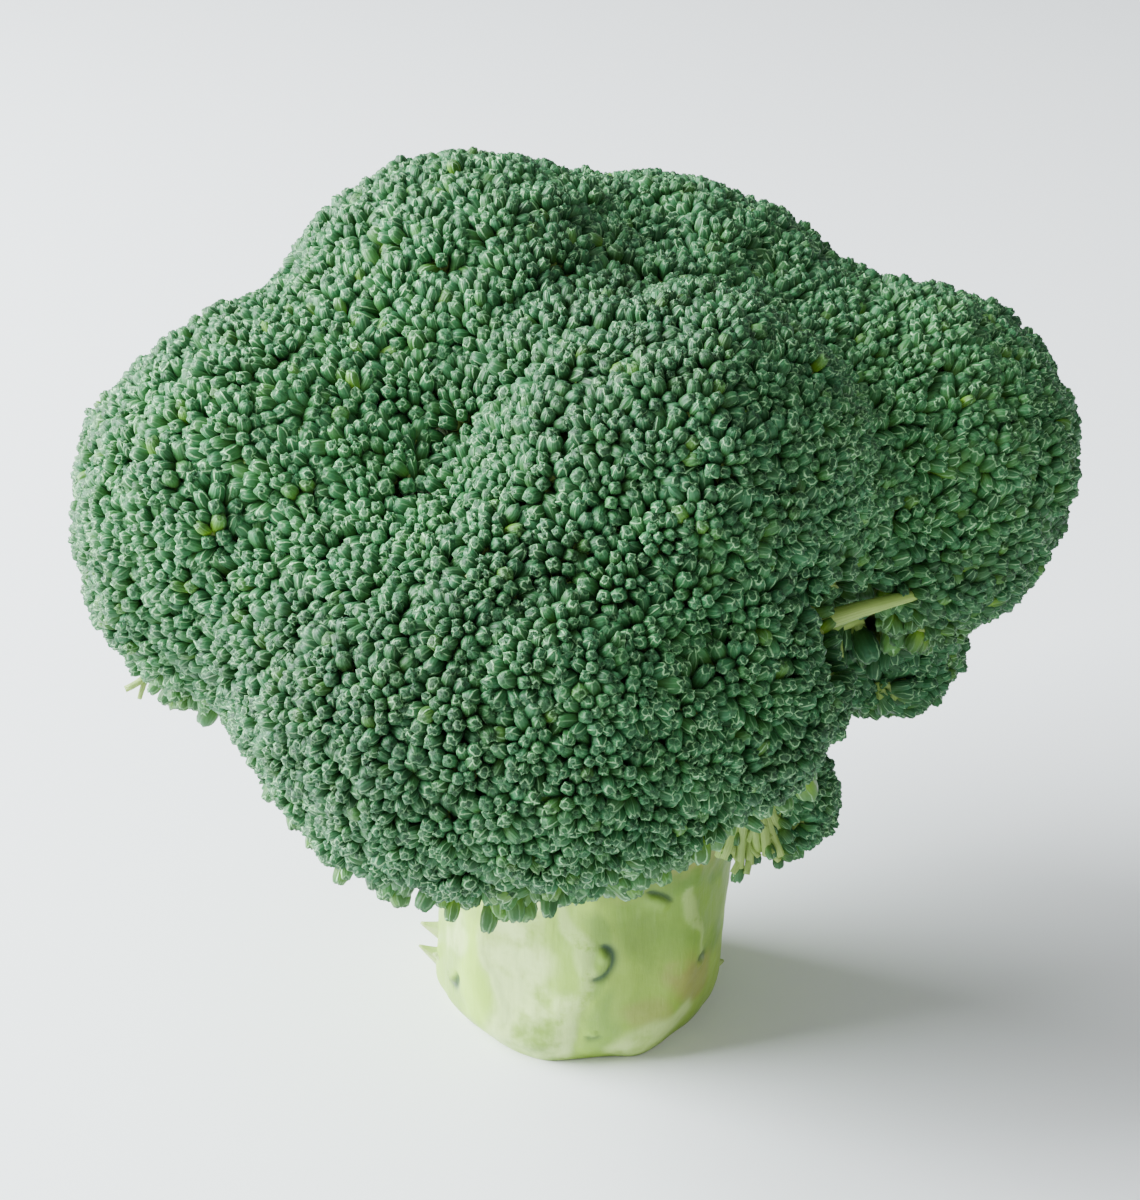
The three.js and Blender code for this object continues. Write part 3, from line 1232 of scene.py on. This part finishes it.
            # the regions add painted light and painted shade to each bud's brightness
            for region in self.painted_light_regions:
                bright_with_painted_light += region.painted_light * region.share(spot)
                yellow = max(0.0, yellow + region.yellower * region.share(spot))
            if chance.random() < self.gaps * rim:
                continue
            tip = spot + normal * lift + axis * 0.5 * length
            yellow, bright_with_painted_light = min(1.0, yellow), min(1.0, max(0.0, bright_with_painted_light))
            self.buds.append(Bud(tip, axis, plump, length, int(owner), yellow, bright_with_painted_light))

    def rim_share(self, triangle: int) -> float:
        """How near a triangle is to its floret's rim, from 0 on the dome to 1 at the rim."""
        return smoothstep(-self.rim_width, 0, self.surface.lean[self.surface.triangles[triangle]].mean())


@dataclass
class Spray:
    """Bare branchlets that hang from a broken floret, forked near their ends, with a few buds left."""

    root: Vector
    hang: Vector
    across: Vector
    count: int = 24
    forks: int = 4  # on each branchlet
    thick: float = 0.85 * MM
    bud: float = 1.8 * MM

    def grow(self) -> tuple[list[Limb], list[Bud]]:
        """Grows the spray.

        Returns:
            Its stems, and the buds left on them.
        """
        chance = random.Random(SEED)
        limbs: list[Limb] = []
        buds: list[Bud] = []
        depth = self.hang.cross(self.across).normalized()
        for k in range(self.count):
            side = (k + 0.5) / self.count * 2 - 1
            start = self.root + self.across * side * 0.22 + depth * chance.uniform(-1.5, 1.5) * MM
            fall = chance.uniform(0.74, 1.0) - 0.16 * side * side
            end = self.root + self.hang * fall + self.across * side
            end += depth * chance.uniform(-2.4, 2.4) * MM
            bend = start.lerp(end, 0.5) + self.across * chance.gauss(0, 0.12)
            bend += depth * chance.gauss(0, 0.8) * MM
            tint = (chance.uniform(0.0, 0.45), 0.5, 0.5)
            limbs.append(Limb(start, bend, end, self.thick * 1.15, self.thick * 0.75, tint=tint))
            for _ in range(self.forks):
                fork = bow(start, bend, end, chance.uniform(0.35, 0.95))
                way = (end - start).normalized() + self.across.normalized() * chance.gauss(0.1, 0.45)
                way = (way + depth * chance.gauss(0, 0.4)).normalized()
                tip = fork + way * chance.uniform(1.0, 2.4) * MM
                middle = fork.lerp(tip, 0.5)
                limbs.append(Limb(fork, middle, tip, self.thick * 0.7, self.thick * 0.55, tint=tint))
                if chance.random() < 0.16 + 0.70 * smoothstep(0.0, 0.8, side):
                    width = self.bud * chance.uniform(0.75, 1.1)
                    length = width * chance.uniform(1.4, 1.9)
                    buds.append(Bud(tip + way * 0.7 * length, way, width, length, -1,
                                    chance.uniform(0.0, 0.3), chance.uniform(0.1, 0.5)))
        return limbs, buds


@dataclass
class Wear:
    """What a floret has lost, or shows bare, from handling."""

    bare_side: Vector | None = None  # the side that has lost its buds
    limbs: tuple[Limb, ...] = ()
    spray: Spray | None = None


WEAR = {
    "front_right_low": Wear(
        bare_side=Vector((-0.75, -0.45, 0.5)),
        spray=Spray(mm(24.8, -22, 51), mm(0.6, -2, -12.6), mm(5.6, 1.0, 0.9)),
    ),
    "right": Wear(limbs=(
        Limb(
            mm(26, -17, 72.0), mm(38.5, -23.0, 80.8), mm(56, -9.0, 77.5), 2.0 * MM, 0.4 * MM,
            tint=(0.08, 0.5, 0.5),
        ),
    )),
    "left": Wear(limbs=(
        Limb(mm(-61, -13, 67.5), mm(-63.5, -14.5, 64.5), mm(-66.5, -15.5, 63.6), 0.55 * MM, 0.5 * MM),
        Limb(mm(-63.7, -14.4, 64.4), mm(-64.2, -14.8, 63.2), mm(-64.6, -15, 61.8), 0.45 * MM, 0.35 * MM),
    )),
}


@dataclass
class Floret:
    """One floret of the head: its buds and, under them, its tree of fine stems."""

    site: FloretSite
    number: int
    crown: BudField
    bud_finish: bpy.types.Material
    stem_finish: bpy.types.Material
    hub_depth: float = 8.0 * MM
    bough_size: int = 6  # clusters that share one bough
    pedicel: float = 0.42 * MM
    branchlet: float = 1.15 * MM
    cap: float = 2.4 * MM  # how far a branchlet reaches past its hub
    wear: Wear = field(default_factory=Wear)

    def build(self, shapes: list[bpy.types.Mesh]) -> None:
        """Makes the floret's pieces.

        Args:
            shapes: The buds' shapes to choose from.
        """
        own = [i for i, cluster in enumerate(self.crown.clusters) if cluster.owner == self.number]
        members = set(own)
        buds = [bud for bud in self.crown.buds if bud.cluster in members]
        if self.wear.bare_side:
            buds = [bud for bud in buds if bud.axis.dot(self.wear.bare_side) < 0.25]
        limbs, loose = self.wear.spray.grow() if self.wear.spray else ([], [])
        limbs += self.wear.limbs
        mesh = self.bud_mesh(buds + loose, shapes)
        piece = add_piece(mesh, f"{self.site.name}_buds", self.bud_finish)
        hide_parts(f"floret_{self.site.name}")
        bearing = {bud.cluster for bud in buds}
        mesh = self.stem_mesh([i for i in own if i in bearing], buds, limbs)
        add_piece(mesh, f"{self.site.name}_stems", self.stem_finish)

    def bud_mesh(self, buds: list[Bud], shapes: list[bpy.types.Mesh]) -> bpy.types.Mesh:
        """Sets a copy of a bud shape at each bud's place.

        Args:
            buds: The floret's buds.
            shapes: The shapes to choose from.

        Returns:
            One mesh of all the floret's buds.
        """
        chance = random.Random(SEED + self.number)
        cells = math.ceil(math.sqrt(len(buds)))
        whole = bmesh.new()
        for number, bud in enumerate(buds):
            shape = chance.choice(shapes)
            copy = shape.copy()
            size = Matrix.Diagonal((bud.width, bud.width, bud.length, 1))
            turn = turn_to(bud.axis, chance.uniform(0, math.tau))
            copy.transform(Matrix.Translation(bud.tip) @ turn @ size)
            paint(copy, Map.TINT, (bud.yellowness, bud.brightness, chance.random()))
            self.lay_in_cell(copy, number % cells, number // cells, cells)
            absorb(whole, copy)
        return mesh_from(whole, f"{self.site.name}_buds")

    def lay_in_cell(self, mesh: bpy.types.Mesh, column: int, row: int, cells: int) -> None:
        """Gives a bud its own cell of the bake map, a little inside the cell's edges.

        Args:
            mesh: The bud.
            column: The cell's column.
            row: The cell's row.
            cells: How many cells there are on a side.
        """
        flat = np.empty(len(mesh.loops) * 2, dtype=np.float32)
        mesh.uv_layers[Map.SURFACE.value].data.foreach_get("uv", flat)
        flat = flat.reshape(-1, 2)
        low, high = flat.min(axis=0), flat.max(axis=0)
        inside = 0.04 + 0.92 * (flat - low) / (high - low)
        cell = (inside + (column, row)) / cells
        layer = mesh.uv_layers.new(name=Map.BAKE.value)
        layer.data.foreach_set("uv", cell.astype(np.float32).ravel())

    def stem_mesh(self, own: list[int], buds: list[Bud], extra: list[Limb]) -> bpy.types.Mesh:
        """Grows boughs from the branch, branchlets from the boughs and a thin stem to each bud.

        Args:
            own: The numbers of the floret's clusters.
            buds: The floret's buds.
            extra: Other stems that show bare.

        Returns:
            One mesh of all the floret's stems.
        """
        hubs = {i: self.crown.clusters[i].hub(self.hub_depth) for i in own}
        boughs: list[Limb] = []
        branchlets: list[Limb] = []
        low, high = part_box(f"floret_{self.site.name}")
        spread = min(3.9 * MM, 0.16 * min(high - low))
        start = self.site.neck - self.site.axis * 1.5 * MM
        for group in self.grouped(own, hubs):
            middle = sum((hubs[i] for i in group), Vector()) / len(group)
            fork = start.lerp(middle, 0.52)
            thick = self.branchlet * (1.0 + 0.42 * math.sqrt(len(group)))
            bend = start + self.site.axis * (fork - start).length * 0.5
            # the tints' red is painted shade, light on the boughs and strong on the branchlets under the
            # crown
            boughs.append(Limb(start, bend, fork, thick * 1.25, thick, tint=(0.1, 0.5, 0.5)))
            for i in group:
                up = self.crown.clusters[i].normal
                bend = hubs[i] - up * (hubs[i] - fork).length * 0.35
                branchlets.append(Limb(
                    fork, bend, hubs[i] + up * self.cap, self.branchlet * 1.15, self.branchlet * 0.8,
                    flare=spread, ribs=9, rib_depth=0.12, tint=(0.55, 0.5, 0.5),
                ))
        pedicels = [self.pedicel_of(bud, hubs[bud.cluster]) for bud in buds]
        whole = gather(boughs + extra, TubeShape(12, 6), "bough")
        for limbs, tube in ((branchlets, TubeShape(18, 7)), (pedicels, TubeShape(5, 3))):
            absorb(whole, mesh_from(gather(limbs, tube, "stem"), "part"))
        return mesh_from(whole, f"{self.site.name}_stems")

    def pedicel_of(self, bud: Bud, hub: Vector) -> Limb:
        """The thin stem of a bud.

        Args:
            bud: The bud.
            hub: Where its cluster's stems meet.

        Returns:
            The stem, from the hub to just inside the bud's foot.
        """
        foot = bud.foot + bud.axis * 0.12 * bud.length
        bend = foot - bud.axis * (foot - hub).length * 0.45
        # the tint's red paints shade on the bud's stem, less under yellower buds
        return Limb(hub, bend, foot, self.pedicel, self.pedicel * 1.05, flare=0.25 * bud.width,
                    tint=(0.45 - 0.3 * bud.yellowness, 0.5, 0.5))

    def grouped(self, own: list[int], hubs: dict[int, Vector]) -> list[list[int]]:
        """Splits the clusters into neighbours that share a bough.

        Args:
            own: The clusters' numbers.
            hubs: Where their stems meet.

        Returns:
            The groups.
        """
        count = max(1, round(len(own) / self.bough_size))
        seeds = [hubs[own[round(k * (len(own) - 1) / max(1, count - 1))]] for k in range(count)]
        for _ in range(8):
            groups: list[list[int]] = [[] for _ in seeds]
            for i in own:
                groups[min(range(len(seeds)), key=lambda k: (hubs[i] - seeds[k]).length)].append(i)
            groups = [group for group in groups if group]
            seeds = [sum((hubs[i] for i in group), Vector()) / len(group) for group in groups]
        return groups


# ------------------------------------------------------------------------------------ stalk and branches


@dataclass
class Branch:
    """A branch from the stalk's fork to a floret's neck."""

    site: FloretSite
    finish: bpy.types.Material
    root_flare: float = 1.45

    def build(self) -> None:
        """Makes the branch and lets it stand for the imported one."""
        axis, neck = self.site.axis, self.site.neck
        flat = axis.xy.length_squared
        back = neck.xy.dot(axis.xy) / flat if flat > 1e-6 else neck.z
        root = neck - axis * back * 0.94
        middle = root.lerp(neck, 0.5)
        # the tint's red paints shade on the branch, which lies under the crown
        limb = Limb(root, middle - Vector((0, 0, 0.05)) * (neck - root).length, neck + axis * 1.5 * MM,
                    self.site.radius * self.root_flare, self.site.radius * 0.96,
                    ribs=7, rib_depth=0.035, tint=(0.40, 0.5, 0.5))
        mesh = mesh_from(gather([limb], TubeShape(40, 24), "branch"), f"{self.site.name}_branch")
        piece = add_piece(mesh, f"{self.site.name}_branch", self.finish)
        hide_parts(f"branch_{self.site.name}")


@dataclass
class Facet:
    """One flat left by the knife: its heading from the front, its depth in millimetres and its lean."""

    heading: float
    depth: float
    lean: float


@dataclass
class Scar:
    """A crescent leaf scar in degrees and millimetres: its place, size, turn, sweep and strength."""

    heading: float
    height: float
    radius: float
    turn: float
    sweep: float = 150.0
    strength: float = 1.0
    line: float = 0.7  # how thick its dark line is


class Tone(Enum):
    """What a patch of the stalk shows, as a map and one of its channels."""

    BARE = (0, 1)
    FLUSH = (0, 2)
    GREEN = (1, 0)
    TAN = (1, 1)
    CREST = (1, 2)


@dataclass
class Patch:
    """A soft patch of one tone on the stalk, from one heading and height to another, in millimetres."""

    tone: Tone
    start: tuple[float, float]
    end: tuple[float, float]
    width: float
    strength: float = 1.0

    def share(self, heading: float, height: float, radius: float) -> float:
        """How strongly the patch shows at a place.

        Args:
            heading: The place's direction from the front, in degrees.
            height: Its height.
            radius: The stalk's radius.

        Returns:
            A share from 0 to the patch's strength.
        """
        wide = math.radians(1) * radius
        foot, top = self.start[1] * MM, self.end[1] * MM
        ax, ay = math.remainder(heading - self.start[0], 360) * wide, height - foot
        bx, by = math.remainder(self.end[0] - self.start[0], 360) * wide, top - foot
        t = min(1.0, max(0.0, (ax * bx + ay * by) / (bx * bx + by * by + 1e-12)))
        gap = math.hypot(ax - bx * t, ay - by * t)
        return self.strength * (1 - smoothstep(0.45, 1.25, gap / (self.width * MM)))


@dataclass
class Stalk:
    """The trimmed stalk: peeled in flats, bevelled round its cut face, scarred where leaves grew.

    Headings are in degrees from the front, growing towards the right side.
    """

    finish: bpy.types.Material
    segments: int = 280
    rings: int = 120
    shear: float = 0.10  # how far the stalk leans to the right as it rises
    bevel: float = 0.15  # how much narrower the stalk is at its cut face
    waist: float = 0.035
    taper: float = 0.46  # how much narrower it is at the fork
    facet_reach: float = 75.0  # how far round from its heading a flat cuts
    sharpness: float = 1.9 / MM  # how sharp the edges between the flats are
    swells: tuple[float, float] = (10 * MM, 3.2 * MM)  # how far apart the large and small swellings are
    swell_heights: tuple[float, float] = (0.65 * MM, 0.14 * MM)
    crest_height: float = 0.25 * MM
    dish: float = 0.35 * MM  # how hollow the cut face is
    cambium: float = 0.74  # the ring of green under the skin, as a share of the cut face's radius
    scar_reach: float = 3 * MM
    scar_lip: float = 0.7 * MM
    lip_gap: float = 1.2 * MM
    scar_dent: float = 0.4 * MM
    facets: tuple[Facet, ...] = (
        Facet(-24, 1.9, 1), Facet(25, 1.5, -1), Facet(64, 1.4, 2), Facet(-66, 1.1, 3),
        Facet(-104, 1.5, 3), Facet(-146, 1.3, -3), Facet(176, 1.5, 1), Facet(140, 1.2, -2),
        Facet(104, 1.6, -2), Facet(-48, -1.5, 12), Facet(2, -1.0, 12), Facet(46, -1.6, 12),
    )
    scars: tuple[Scar, ...] = (
        Scar(3.5, 20.9, 2.9, -8, 205, 1.0, 0.85), Scar(-63, 10.8, 2.5, -60, 190, 1.0, 0.9),
        Scar(18, 21.2, 10.2, 62, 40, 0.85, 0.45), Scar(56, 12, 3.2, 80, 80, 0.7),
        Scar(7, 7.6, 1.6, -90, 120, 0.6), Scar(174, 25, 3.4, -20, 150, 1.0, 0.8),
        Scar(-148, 13, 2.4, 150, 130, 0.7), Scar(118, 27, 3.0, 60),
    )
    patches: tuple[Patch, ...] = (
        Patch(Tone.BARE, (-32, 28), (-23, 5), 6.0, 1.05), Patch(Tone.BARE, (-12, 12), (-10, 3), 3.5),
        Patch(Tone.BARE, (22, 3.5), (52, 5), 3.4, 0.9), Patch(Tone.BARE, (-66, 16), (-58, 20), 3.0, 0.7),
        Patch(Tone.BARE, (130, 24), (136, 6), 7.0), Patch(Tone.BARE, (-128, 18), (-120, 4), 6.0, 0.9),
        Patch(Tone.FLUSH, (-50, 22), (-44, 3), 4.0), Patch(Tone.FLUSH, (4, 16), (6, 4), 3.2, 0.8),
        Patch(Tone.FLUSH, (-60, 30), (20, 32), 5.0, 0.8),
        Patch(Tone.FLUSH, (90, 20), (100, 5), 7.0, 0.7), Patch(Tone.GREEN, (2, 27), (1, 17), 2.2, 0.45),
        # painted shade: the green patch beside the front ridge, the green and tan patches across the right
        # side and the green and tan ring under the crown darken the stalk where it lies in shade, over its
        # own greener and browner skin
        Patch(Tone.GREEN, (9, 15), (10, 4), 2.6, 0.4), Patch(Tone.GREEN, (22, 28), (70, 22), 6.5, 0.50),
        Patch(Tone.GREEN, (55, 14.5), (74, 15.5), 3.4, 0.70),
        Patch(Tone.GREEN, (-90, 41), (90, 39), 8.0, 0.75),
        Patch(Tone.GREEN, (90, 40), (-90, 40), 8.0, 0.6), Patch(Tone.TAN, (40, 17), (62, 9), 4.0, 0.75),
        Patch(Tone.TAN, (24, 10), (34, 9), 3.0, 0.5), Patch(Tone.TAN, (14, 36), (72, 35), 5.0, 0.80),
        Patch(Tone.GREEN, (30, 34), (90, 31), 6.0, 0.9),
        Patch(Tone.TAN, (-170, 12), (170, 20), 4.0, 0.6),
        # painted highlight: pale lines along the ridges between the flats, where the ridges catch the
        # light; the ridges are also raised a little
        Patch(Tone.CREST, (-11, 31), (-3, 23), 1.2, 0.40),
        Patch(Tone.CREST, (-3, 23), (-4.5, 4), 1.5, 0.42),
        Patch(Tone.CREST, (43, 29), (58, 17), 0.6, 0.4),
        Patch(Tone.CREST, (-46, 27), (-33, 7), 0.8, 0.45),
        Patch(Tone.CREST, (112, 26), (118, 7), 0.9, 0.6),
    )

    def build(self) -> None:
        """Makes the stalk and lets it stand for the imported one."""
        low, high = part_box("stalk")
        self.radius = (high.x - low.x) / 2
        self.height = high.z
        bm = upright_tube(self.segments, self.rings)
        for end in (0.0, 1.0):
            caps = (f for f in bm.faces if len(f.verts) > 4)
            face = next(f for f in caps if abs(f.calc_center_median().z - end) < ON_AXIS)
            for _ in range(10):
                bmesh.ops.inset_individual(bm, faces=[face], thickness=0.09, use_even_offset=False)
            bmesh.ops.poke(bm, faces=[face])
        bm.verts.index_update()
        shown = np.zeros((2, len(bm.verts), 3), dtype=np.float32)
        for vert in bm.verts:
            self.shape(vert, shown)
        mesh = mesh_from(bm, "stalk_peeled")
        paint(mesh, Map.MARK, shown[0])
        paint(mesh, Map.STAIN, shown[1])
        piece = add_piece(mesh, "stalk_peeled", self.finish)
        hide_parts("stalk")

    def outline(self, share: float) -> float:
        """The stalk's radius at a share of its height, as a share of its full radius."""
        bevel = 1 - self.bevel * (1 - smoothstep(-0.08, 0.11, share)) ** 1.2
        waist = 1 - self.waist * smoothstep(0.3, 0.6, share)
        fork = 1 - self.taper * smoothstep(0.74, 1.0, share) ** 1.4
        return bevel * waist * fork

    def shape(self, vert: bmesh.types.BMVert, shown: np.ndarray) -> None:
        """Moves one vertex of the straight stalk to its place and paints it.

        Args:
            vert: The vertex, on a cylinder of height and radius one.
            shown: The two maps, which get the vertex's tones.
        """
        share, ring = vert.co.z, vert.co.xy.length
        turn = math.atan2(vert.co.y, vert.co.x)
        heading = math.degrees(turn) + 90
        height = share * self.height
        reach = self.outline(share) * self.radius
        cuts = []
        for facet in self.facets:
            off = math.radians(math.remainder(heading - facet.heading, 360))
            if abs(off) < math.radians(self.facet_reach):
                lean = math.tan(math.radians(facet.lean)) * (height - 0.4 * self.height)
                cuts.append((reach - facet.depth * MM + lean) / math.cos(off))
        soft = sum(math.exp(-self.sharpness * (cut - reach)) for cut in cuts) + 1
        peeled = reach - math.log(soft) / self.sharpness
        around = spoke(turn)
        spot = around * reach + Vector((0, 0, height))
        swell = sum(noise.noise(spot / gap) * rise for gap, rise in zip(self.swells, self.swell_heights))
        scar, lip = self.scarred(heading, height)
        side = smoothstep(0.9, 1.0, ring)
        warp = Vector((noise.noise(spot / (7 * MM)), noise.noise(spot / (7 * MM) + Vector((9, 4, 2)))))
        tones = np.zeros((2, 3))
        for patch in self.patches:
            found = patch.share(heading + 9 * warp.x, height + 2.4 * MM * warp.y, self.radius)
            here = tones[patch.tone.value]
            tones[patch.tone.value] = max(here, found)
        lip += tones[Tone.CREST.value] * self.crest_height
        radius = ring * (peeled + (swell + lip) * side)
        slide = self.shear * (min(height, 0.75 * self.height) - 0.25 * self.height)
        vert.co = around * radius + Vector((slide * smoothstep(0, 0.1, share), 0, height))
        if share < 1e-4:
            vert.co.z = self.dish * smoothstep(0.25, 0.7, ring) * (1 - smoothstep(0.72, 0.95, ring))
            off = ring - self.cambium
            tones[Tone.BARE.value] = 1.2 - 0.6 * bell(off / 0.05)
            tones[Tone.GREEN.value] = 0.8 * bell(off / 0.06) + 0.7 * smoothstep(0.93, 1, ring)
        tones[0][0] = scar * side
        tones[Tone.FLUSH.value] = max(0.3, tones[Tone.FLUSH.value])
        shown[:, vert.index] = tones

    def scarred(self, heading: float, height: float) -> tuple[float, float]:
        """How dark and how raised the skin is where leaves grew.

        Args:
            heading: The direction from the front, in degrees.
            height: The height above the cut face.

        Returns:
            The darkness from 0 to 1, and the lift in metres.
        """
        dark = lift = 0.0
        for scar in self.scars:
            across = math.radians(math.remainder(heading - scar.heading, 360)) * self.radius
            up = height - scar.height * MM
            gap = math.hypot(across, up) - scar.radius * MM
            if abs(gap) > self.scar_reach:
                continue
            way = math.degrees(math.remainder(math.atan2(up, across) - math.radians(scar.turn), math.tau))
            along = 1 - smoothstep(0.45, 1.0, abs(way) / (0.5 * scar.sweep))
            thick = scar.line * MM * (0.35 + 0.65 * along)
            line = bell(gap / thick) * min(1.0, 2.5 * along) * scar.strength
            dark = max(dark, line)
            lift += self.scar_lip * bell((gap + self.lip_gap) / MM) * along * scar.strength
            lift -= self.scar_dent * line
        return dark, lift


@dataclass
class Fibres:
    """Torn slivers of skin that stand out from the stalk where it was peeled."""

    finish: bpy.types.Material
    slivers: tuple[tuple[float, float, float, float], ...] = (
        (-90, 11.8, 3.6, 20), (-88, 6.6, 4.6, 36), (-82, 9.0, 1.6, 10), (92, 5.5, 1.4, -10),
        (-171, 18, 3.0, 15), (142, 12, 2.4, -10),
    )  # heading from the front, height in millimetres, length in millimetres, lift of the point
    foot_depth: float = 4.2 * MM  # how far inside the stalk's radius a sliver begins
    tear_depth: float = 1.8 * MM
    thick: float = 2.5 * MM
    point: float = 0.2 * MM
    tint: tuple[float, float, float] = (0.0, 0.6, 0.5)

    def build(self) -> None:
        """Makes the slivers as one piece."""
        low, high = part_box("stalk")
        radius = (high.x - low.x) / 2
        limbs = []
        for heading, height, length, lift in self.slivers:
            out = spoke(math.radians(heading - 90))
            foot = out * (radius - self.foot_depth) + mm(0, 0, height - 1.0)
            raised = out * math.cos(math.radians(lift)) + Vector((0, 0, math.sin(math.radians(lift))))
            tip = out * (radius - self.tear_depth) + mm(0, 0, height) + raised * length * MM
            bend = foot.lerp(tip, 0.55) - mm(0, 0, 0.5)
            sliver = Limb(foot, bend, tip, self.thick, self.point, ribs=3, rib_depth=0.16, tint=self.tint)
            limbs.append(sliver)
        mesh = mesh_from(gather(limbs, TubeShape(10, 10), "sliver"), "stalk_fibres")
        add_piece(mesh, "stalk_fibres", self.finish)


# ---------------------------------------------------------------------------------------------- studio


@dataclass
class Studio:
    """The pale floor, the soft lights and the camera."""

    aim: Vector = field(default_factory=lambda: Vector((-1.5, -4.0, 72.5)) * MM)
    distance: float = 380 * MM
    elevation: float = 26.0
    lens: float = 76.7
    sensor: float = 36.0
    floor_size: float = 6.0

    def build(self) -> None:
        """Makes the studio."""
        self.floor()
        self.lamp("key_light", Vector((-1.05, 0.05, 0.60)), 1.00, 108.0, (0.88, 0.96, 1.0))
        self.lamp("fill_light", Vector((0.35, -1.00, 0.50)), 0.9, 2.0, (1.0, 0.99, 0.95))
        self.lamp("top_light", Vector((-0.30, 0.20, 1.10)), 0.8, 3.0, (0.96, 0.99, 1.0))
        world = bpy.data.worlds.new("pale_surround")
        bpy.context.scene.world = world
        world.use_nodes = True
        back = world.node_tree.nodes["Background"]
        back.inputs[0].default_value = (0.93, 0.96, 1.0, 1)
        back.inputs[1].default_value = 0.42
        self.camera()

    def floor(self) -> None:
        """Makes the floor that the stalk stands on."""
        bm = bmesh.new()
        bmesh.ops.create_grid(bm, x_segments=1, y_segments=1, size=self.floor_size / 2)
        bmesh.ops.translate(bm, verts=bm.verts[:], vec=(0, 0, -0.1 * MM))  # just clear of the cut face
        piece = linked("floor", mesh_from(bm, "floor"))
        piece.data.materials.append(FloorFinish().material())

    def lamp(self, name: str, place: Vector, size: float, power: float, colour: tuple[float, ...]) -> None:
        """Hangs one soft square lamp that faces the head.

        Args:
            name: The lamp's name.
            place: Where it hangs.
            size: The side of its square.
            power: Its power in watts.
            colour: The colour of its light.
        """
        data = bpy.data.lights.new(name, "AREA")
        data.shape = "SQUARE"
        data.size = size
        data.energy = power
        data.color = colour
        lamp = linked(name, data)
        lamp.matrix_world = Matrix.Translation(place) @ turn_to(place - self.aim)

    def camera(self) -> None:
        """Sets the camera level with the crown's front, looking a little down."""
        data = bpy.data.cameras.new("camera")
        data.lens = self.lens
        data.sensor_width = self.sensor
        data.clip_start = 0.01
        data.clip_end = 20.0
        tilt = math.radians(self.elevation)
        camera = linked("camera", data)
        place = self.aim + Vector((0, -math.cos(tilt), math.sin(tilt))) * self.distance
        camera.matrix_world = Matrix.Translation(place) @ Matrix.Rotation(math.radians(90) - tilt, 4, "X")
        bpy.context.scene.camera = camera


# ------------------------------------------------------------------------------------------------- main


def main() -> None:
    """Builds the head piece by piece."""
    logging.basicConfig(level=logging.INFO, format="%(name)s %(message)s")
    Studio().build()
    names = sorted(n.removeprefix("floret_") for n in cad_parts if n.startswith("floret_"))
    sites = [FloretSite.of(name) for name in names]
    bud_finish = BudFinish().material()
    stem_finish = StemFinish("stem_skin").material()
    Stalk(StalkFinish().material()).build()
    Fibres(StemFinish("fibre_skin", skin=(0.42, 0.52, 0.20, 1)).material()).build()
    for site in sites:
        Branch(site, stem_finish).build()
    crown = BudField(CrownSurface(sites))
    shapes = [
        BudShape().mesh("bud_plain"),
        BudShape(plump=0.92, squareness=0.09, points=0.06).mesh("bud_slim"),
        BudShape(plump=1.06, squareness=0.04, points=0.03).mesh("bud_plump"),
    ]
    for number, site in enumerate(sites):
        wear = WEAR.get(site.name, Wear())
        Floret(site, number, crown, bud_finish, stem_finish, wear=wear).build(shapes)


if __name__ == "__main__":
    main()
